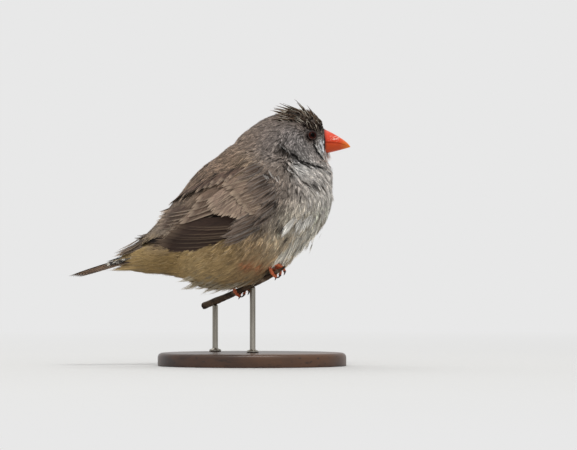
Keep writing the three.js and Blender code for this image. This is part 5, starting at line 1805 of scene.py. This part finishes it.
def gripFrame(spot):
    line = throughPoints(twigMiddles, 200)
    radii = np.interp(np.linspace(0, 1, 200), np.linspace(0, 1, len(twigRadii)), twigRadii)
    i = np.argmin(lengthOf(line - spot))
    along = unit(line[i + 1] - line[i - 1])
    over = unit(np.array([0.0, 0.0, 1.0]) - along * along[2])
    return {"middle": line[i], "along": along, "over": over, "forward": unit(np.cross(over, along)),
            "radius": radii[i]}


def roundTwig(grip, angle, distance, shift):
    turn = math.radians(angle)
    spot = grip["middle"] + grip["over"] * math.cos(turn) * distance
    return spot + grip["forward"] * math.sin(turn) * distance + grip["along"] * shift


def toeMesh(name, grip, plan, steps=34):
    path, radius = [], []
    base = grip["radius"] + legSpec["toe"] + legSpec["clearance"]
    for i in range(steps + 1):
        u = i / steps
        angle = plan["start"] + (plan["end"] - plan["start"]) * u
        shift = plan["root"] + (plan["spread"] - plan["root"]) * u ** 0.8
        path.append(roundTwig(grip, angle, base - 0.1 + legSpec["arch"] * (1 - u) ** 3, shift))
        pads = 0.07 * math.cos(u * math.pi * 6)
        radius.append(legSpec["toe"] * (1.04 - 0.3 * u) + pads)
    run = runAlong(path)

    def scutes(k, angle):
        saw = (run[k] / legSpec["scute"]) % 1.0
        return 1 + 0.07 * (0.5 - saw) * (np.cos(angle) > -0.3)

    return tubeMesh(name, path, radius, 20, scutes)


def clawMesh(name, grip, plan, steps=16):
    turn = 1 if plan["end"] > plan["start"] else -1
    base = grip["radius"] + legSpec["toe"] + legSpec["clearance"]
    path, radius = [], []
    for i in range(steps + 1):
        u = i / steps
        angle = plan["end"] + turn * (-6 + (legSpec["clawArc"] + 10) * u)
        path.append(roundTwig(grip, angle, base + 0.05 + 0.5 * u * u, plan["spread"]))
        radius.append(legSpec["claw"] * (1.1 - u) ** 0.7 * 1.05)
    return tubeMesh(name, path, radius, 14)


def makeLegs():
    skin = legMaterial()
    horn = speckled("clawHorn", 1600.0, legLook["claw"], (0.35, 0.5), 0.2, 0.05, Coat_Weight=0.2,
                    Coat_Roughness=0.3)
    for side, label, spot in ((-1, "Right", gripRight), (1, "Left", gripLeft)):
        grip = gripFrame(spot)
        joint = roundTwig(grip, -42, grip["radius"] + legSpec["toe"] + 1.7, 0)
        ankle = np.array(legSpec["ankle" + label])
        t = np.linspace(0, 1, 60)[:, None]
        path = ankle + (joint - ankle) * t + np.array([0, 0, 0.6]) * np.sin(t * math.pi)
        u = t[:, 0]
        radius = legSpec["shank"] + 0.36 * np.exp(-((u - 1) / 0.09) ** 2) + 0.32 * np.exp(-(u / 0.12) ** 2)
        saw = (u * np.linalg.norm(joint - ankle) / 0.9) % 1.0
        mesh = tubeMesh("shank" + label, path, radius * (1 + 0.05 * (0.5 - saw)), 24)
        low = label.lower()
        addPiece("shank" + label, mesh, skin, ["shank_" + low])
        for name, row in toePlans.items():
            plan = named(toeFields, row)
            toe = toeMesh("toe" + label + name.capitalize(), grip, plan)
            addPiece(toe.name, toe, skin, ["toe_" + low + "_" + name])
            claw = clawMesh("claw" + label + name.capitalize(), grip, plan)
            addPiece(claw.name, claw, horn, ["claw_" + low + "_" + name])


makeLegs()
report("legs")

twigLook = {"bark": "#5b4a3b", "light": "#8d7d6a", "dark": "#33271f", "tip": "#2a1c16", "wood": "#b99a6d",
            "ring": "#8a6c47"}


def twigMaterial():
    material, tree, shader = newMaterial("twigBark", Specular_IOR_Level=0.2)
    where = objectPlace(tree)
    streaks = noiseValue(tree, 500.0, 5.0, stretch=(0.5, 0.5, 0.8))
    colour = twoTone(tree, streaks, 0.38, 0.66, twigLook["dark"], twigLook["bark"])
    lichen = spread(tree, noiseValue(tree, 240.0, 4.0), 0.56, 0.7, 0.0, 0.7)
    colour = tinted(tree, lichen, colour, twigLook["light"])
    darkTip = spread(tree, splitXyz(tree, where)[0], 0.0098, 0.0113)
    colour = tinted(tree, darkTip, colour, twigLook["tip"])
    rings = addNode(tree, "ShaderNodeTexNoise", {"Vector": where, "Scale": 1800.0}).outputs[0]
    wood = twoTone(tree, rings, 0.4, 0.6, twigLook["wood"], twigLook["ring"])
    colour = mixColour(tree, readAttribute(tree, "cutEnd", "Fac"), colour, wood)
    finishMaterial(tree, shader, colour, spread(tree, streaks, 0.3, 0.7, 0.75, 0.95), streaks, 0.6, 0.25)
    return material


def makeTwig():
    count, sides = 150, 40
    line = throughPoints(twigMiddles, count)
    run = np.linspace(0, 1, count)
    radius = np.interp(run, np.linspace(0, 1, len(twigRadii)), twigRadii) * 0.985
    phase = dice.uniform(0, 6.28, 6)

    def bark(k, angle):
        s = run[k] * 44
        ridges = sum(0.018 * np.sin(angle * n + s * f + phase[i])
                     for i, (n, f) in enumerate(((3, 0.5), (5, -0.8), (8, 1.3), (11, -0.35), (6, 2.6))))
        bud = 0.22 * math.exp(-((run[k] - 0.44) / 0.012) ** 2) * np.exp(-((angle - 2.2) / 0.5) ** 2)
        scar = 0.05 * math.exp(-((run[k] - 0.3) / 0.01) ** 2)
        return 1 + ridges + bud + scar

    mesh = tubeMesh("twigBark", line, radius, sides, bark)
    cut = np.zeros(len(mesh.vertices))
    cut[count * sides] = 1.0   # the middle of the cut end
    addAttribute(mesh, "cutEnd", cut)
    addPiece("twig", mesh, twigMaterial(), ["twig"])


makeTwig()

standLook = {"wood": "#4a2f1e", "grain": "#2a180f", "light": "#7a5232", "pore": "#150b07",
             "steel": ("#7d786f", "#aaa59b")}


def woodMaterial():
    material, tree, shader = newMaterial("oiledWood", Coat_Weight=0.15, Coat_Roughness=0.25)
    bend = noiseValue(tree, 30.0, 3.0)
    lines = noiseValue(tree, 120.0, 6.0, stretch=(0.14, 1.6, 1.6))
    colour = twoTone(tree, lines, 0.36, 0.64, standLook["grain"], standLook["wood"])
    colour = tinted(tree, spread(tree, bend, 0.45, 0.75, 0.0, 0.45), colour, standLook["light"])
    pores = noiseValue(tree, 900.0, 2.0, stretch=(0.08, 1.0, 1.0))
    colour = tinted(tree, spread(tree, pores, 0.62, 0.7, 0.0, 0.6), colour, standLook["pore"])
    finishMaterial(tree, shader, colour, spread(tree, lines, 0.3, 0.7, 0.32, 0.5), pores, 0.15, 0.1)
    return material


def lathe(name, profile, centre, sides=72, stretchY=1.0):
    # profile is a list of (radius, z); the outline is an oval when stretchY isn't 1
    angle = circle(sides)
    rings = [np.stack([centre[0] + r * np.cos(angle), centre[1] + r * stretchY * np.sin(angle),
                       np.full(sides, z)], -1) for r, z in profile]
    return facesOut(loftMesh(name, np.array(rings)))


def makeStand():
    wood = woodMaterial()
    steel = speckled("satinSteel", 1600.0, standLook["steel"], (0.24, 0.38), 0.1, 0.03, (1.0, 1.0, 0.04),
                     Metallic=1.0)
    low, high = (np.array(c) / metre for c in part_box("stand_base"))
    halfX, halfY, height = high[0], high[1], high[2]
    profile = [(halfX - 1.4, 0.0), (halfX - 0.5, 0.0), (halfX - 0.12, 0.14), (halfX, 0.5),
               (halfX, height - 2.0)]
    for k in range(9):
        a = math.pi / 2 * k / 8
        profile.append((halfX - 1.6 * (1 - math.cos(a)), height - 1.6 * (1 - math.sin(a))))
    profile.append((halfX - 3.0, height))
    base = lathe("standBase", profile, (0, 0), 160, halfY / halfX)
    addPiece("standBase", base, wood, ["stand_base"])
    for end in ("rear", "front"):
        node = "stand_rod_" + end
        low, high = (np.array(c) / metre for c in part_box(node))
        centre = (low[:2] + high[:2]) / 2
        r = 1.0
        foot, top = low[2] - 0.25, high[2]
        profile = [(r + 1.1, foot), (r + 1.1, foot + 0.5), (r + 0.9, foot + 0.8), (r + 0.15, foot + 1.0),
                   (r, foot + 1.3), (r, top - 0.5), (r * 0.9, top - 0.2), (r * 0.5, top)]
        addPiece("standRod" + end.capitalize(), lathe(node, profile, centre, 48), steel, [node])


makeStand()
report("twig and stand")


# Floor, light and camera

studio = {"back": 0.807, "floor": "#cbcbca", "floorCloud": "#c8c8c7", "floorRadius": 14000, "sky": 0.85,
          "front": 0.5, "fadeFrom": 0.06, "fadeTo": 0.5, "aim": (0, 0, 0.05)}
# place in metres, side of the square, power and colour
lamps = {
    "rimLight": ((-0.3, 0.45, 0.95), 0.8, 3.0, (1.0, 0.99, 0.98)),
    "keyLight": ((0.05, -0.42, 1.0), 0.35, 4.2, (1.0, 0.99, 0.97)),
    "frontFill": ((0.5, -1.1, 0.7), 0.5, 0.5, (1.0, 0.97, 0.92)),
}
view = {"pixel": 0.35, "width": 577, "height": 450, "centre": (12.775, 49.3), "distance": 1500.0}


def floorMaterial():
    # pale near the stand, fading into the colour of the background with distance
    material, tree, shader = newMaterial("paleFloor", Roughness=0.9, Specular_IOR_Level=0.1)
    colour = twoTone(tree, noiseValue(tree, 3.0, 2.0), 0.3, 0.7, studio["floor"], studio["floorCloud"])
    tree.links.new(colour, shader.inputs["Base Color"])
    far = vectorMaths(tree, "LENGTH", {0: objectPlace(tree)})["Value"]
    plain = addNode(tree, "ShaderNodeEmission", {"Color": (studio["back"],) * 3 + (1,), "Strength": 1.0})
    share = spread(tree, far, studio["fadeFrom"], studio["fadeTo"])
    fade = addNode(tree, "ShaderNodeMixShader", {0: share})
    tree.links.new(shader.outputs[0], fade.inputs[1])
    tree.links.new(plain.outputs[0], fade.inputs[2])
    tree.links.new(fade.outputs[0], tree.nodes["Material Output"].inputs["Surface"])
    return material


def makeFloor():
    sides, radius = 128, studio["floorRadius"]
    angle = circle(sides)
    rim = np.stack([np.cos(angle), np.sin(angle), np.zeros(sides)], -1) * radius
    points = np.concatenate([np.zeros((1, 3)), rim])
    index = np.arange(sides)
    faces = np.stack([np.zeros(sides, int), index + 1, (index + 1) % sides + 1], -1)
    mesh = meshFrom("floor", points, faces)
    floor = newObject("floor", mesh)
    mesh.materials.append(floorMaterial())


def addLight(name, at, size, power, colour):
    lamp = bpy.data.lights.new(name, "AREA")
    lamp.shape = "RECTANGLE"
    lamp.size, lamp.size_y = size, size
    lamp.energy = power
    lamp.color = colour
    light = newObject(name, lamp)
    light.location = at
    light.rotation_euler = (Vector(studio["aim"]) - Vector(at)).to_track_quat("-Z", "Y").to_euler()


def makeStudio():
    for name, lamp in lamps.items():
        addLight(name, *lamp)
    world = bpy.data.worlds.new("studioWorld")
    world.use_nodes = True
    tree = world.node_tree
    where = addNode(tree, "ShaderNodeTexCoord").outputs["Generated"]
    _, y, z = splitXyz(tree, where)
    height = spread(tree, z, -0.1, 0.7)
    behind = spread(tree, y, -0.9, 0.6)
    light = maths(tree, "MAXIMUM", height, behind)
    light = spread(tree, light, 0.0, 1.0, studio["front"], studio["sky"])
    shown = addNode(tree, "ShaderNodeLightPath").outputs["Is Camera Ray"]
    strength = addNode(tree, "ShaderNodeMix", {0: shown, 2: light, 3: studio["back"]}).outputs[0]
    tree.links.new(strength, tree.nodes["Background"].inputs[1])
    tree.nodes["Background"].inputs[0].default_value = (1, 1, 1, 1)
    bpy.context.scene.world = world
    bpy.context.scene.view_settings.view_transform = "Standard"


def makeCamera():
    lens = bpy.data.cameras.new("photoCamera")
    lens.sensor_width = 36.0
    lens.lens = lens.sensor_width * view["distance"] / (view["width"] * view["pixel"])
    lens.clip_start, lens.clip_end = 0.05, 20.0
    camera = newObject("photoCamera", lens)
    camera.location = (view["centre"][0] * metre, -view["distance"] * metre, view["centre"][1] * metre)
    camera.rotation_euler = (math.pi / 2, 0, 0)
    bpy.context.scene.camera = camera


makeFloor()
makeStudio()
makeCamera()
report(f"studio, coat {coatTotal} triangles")
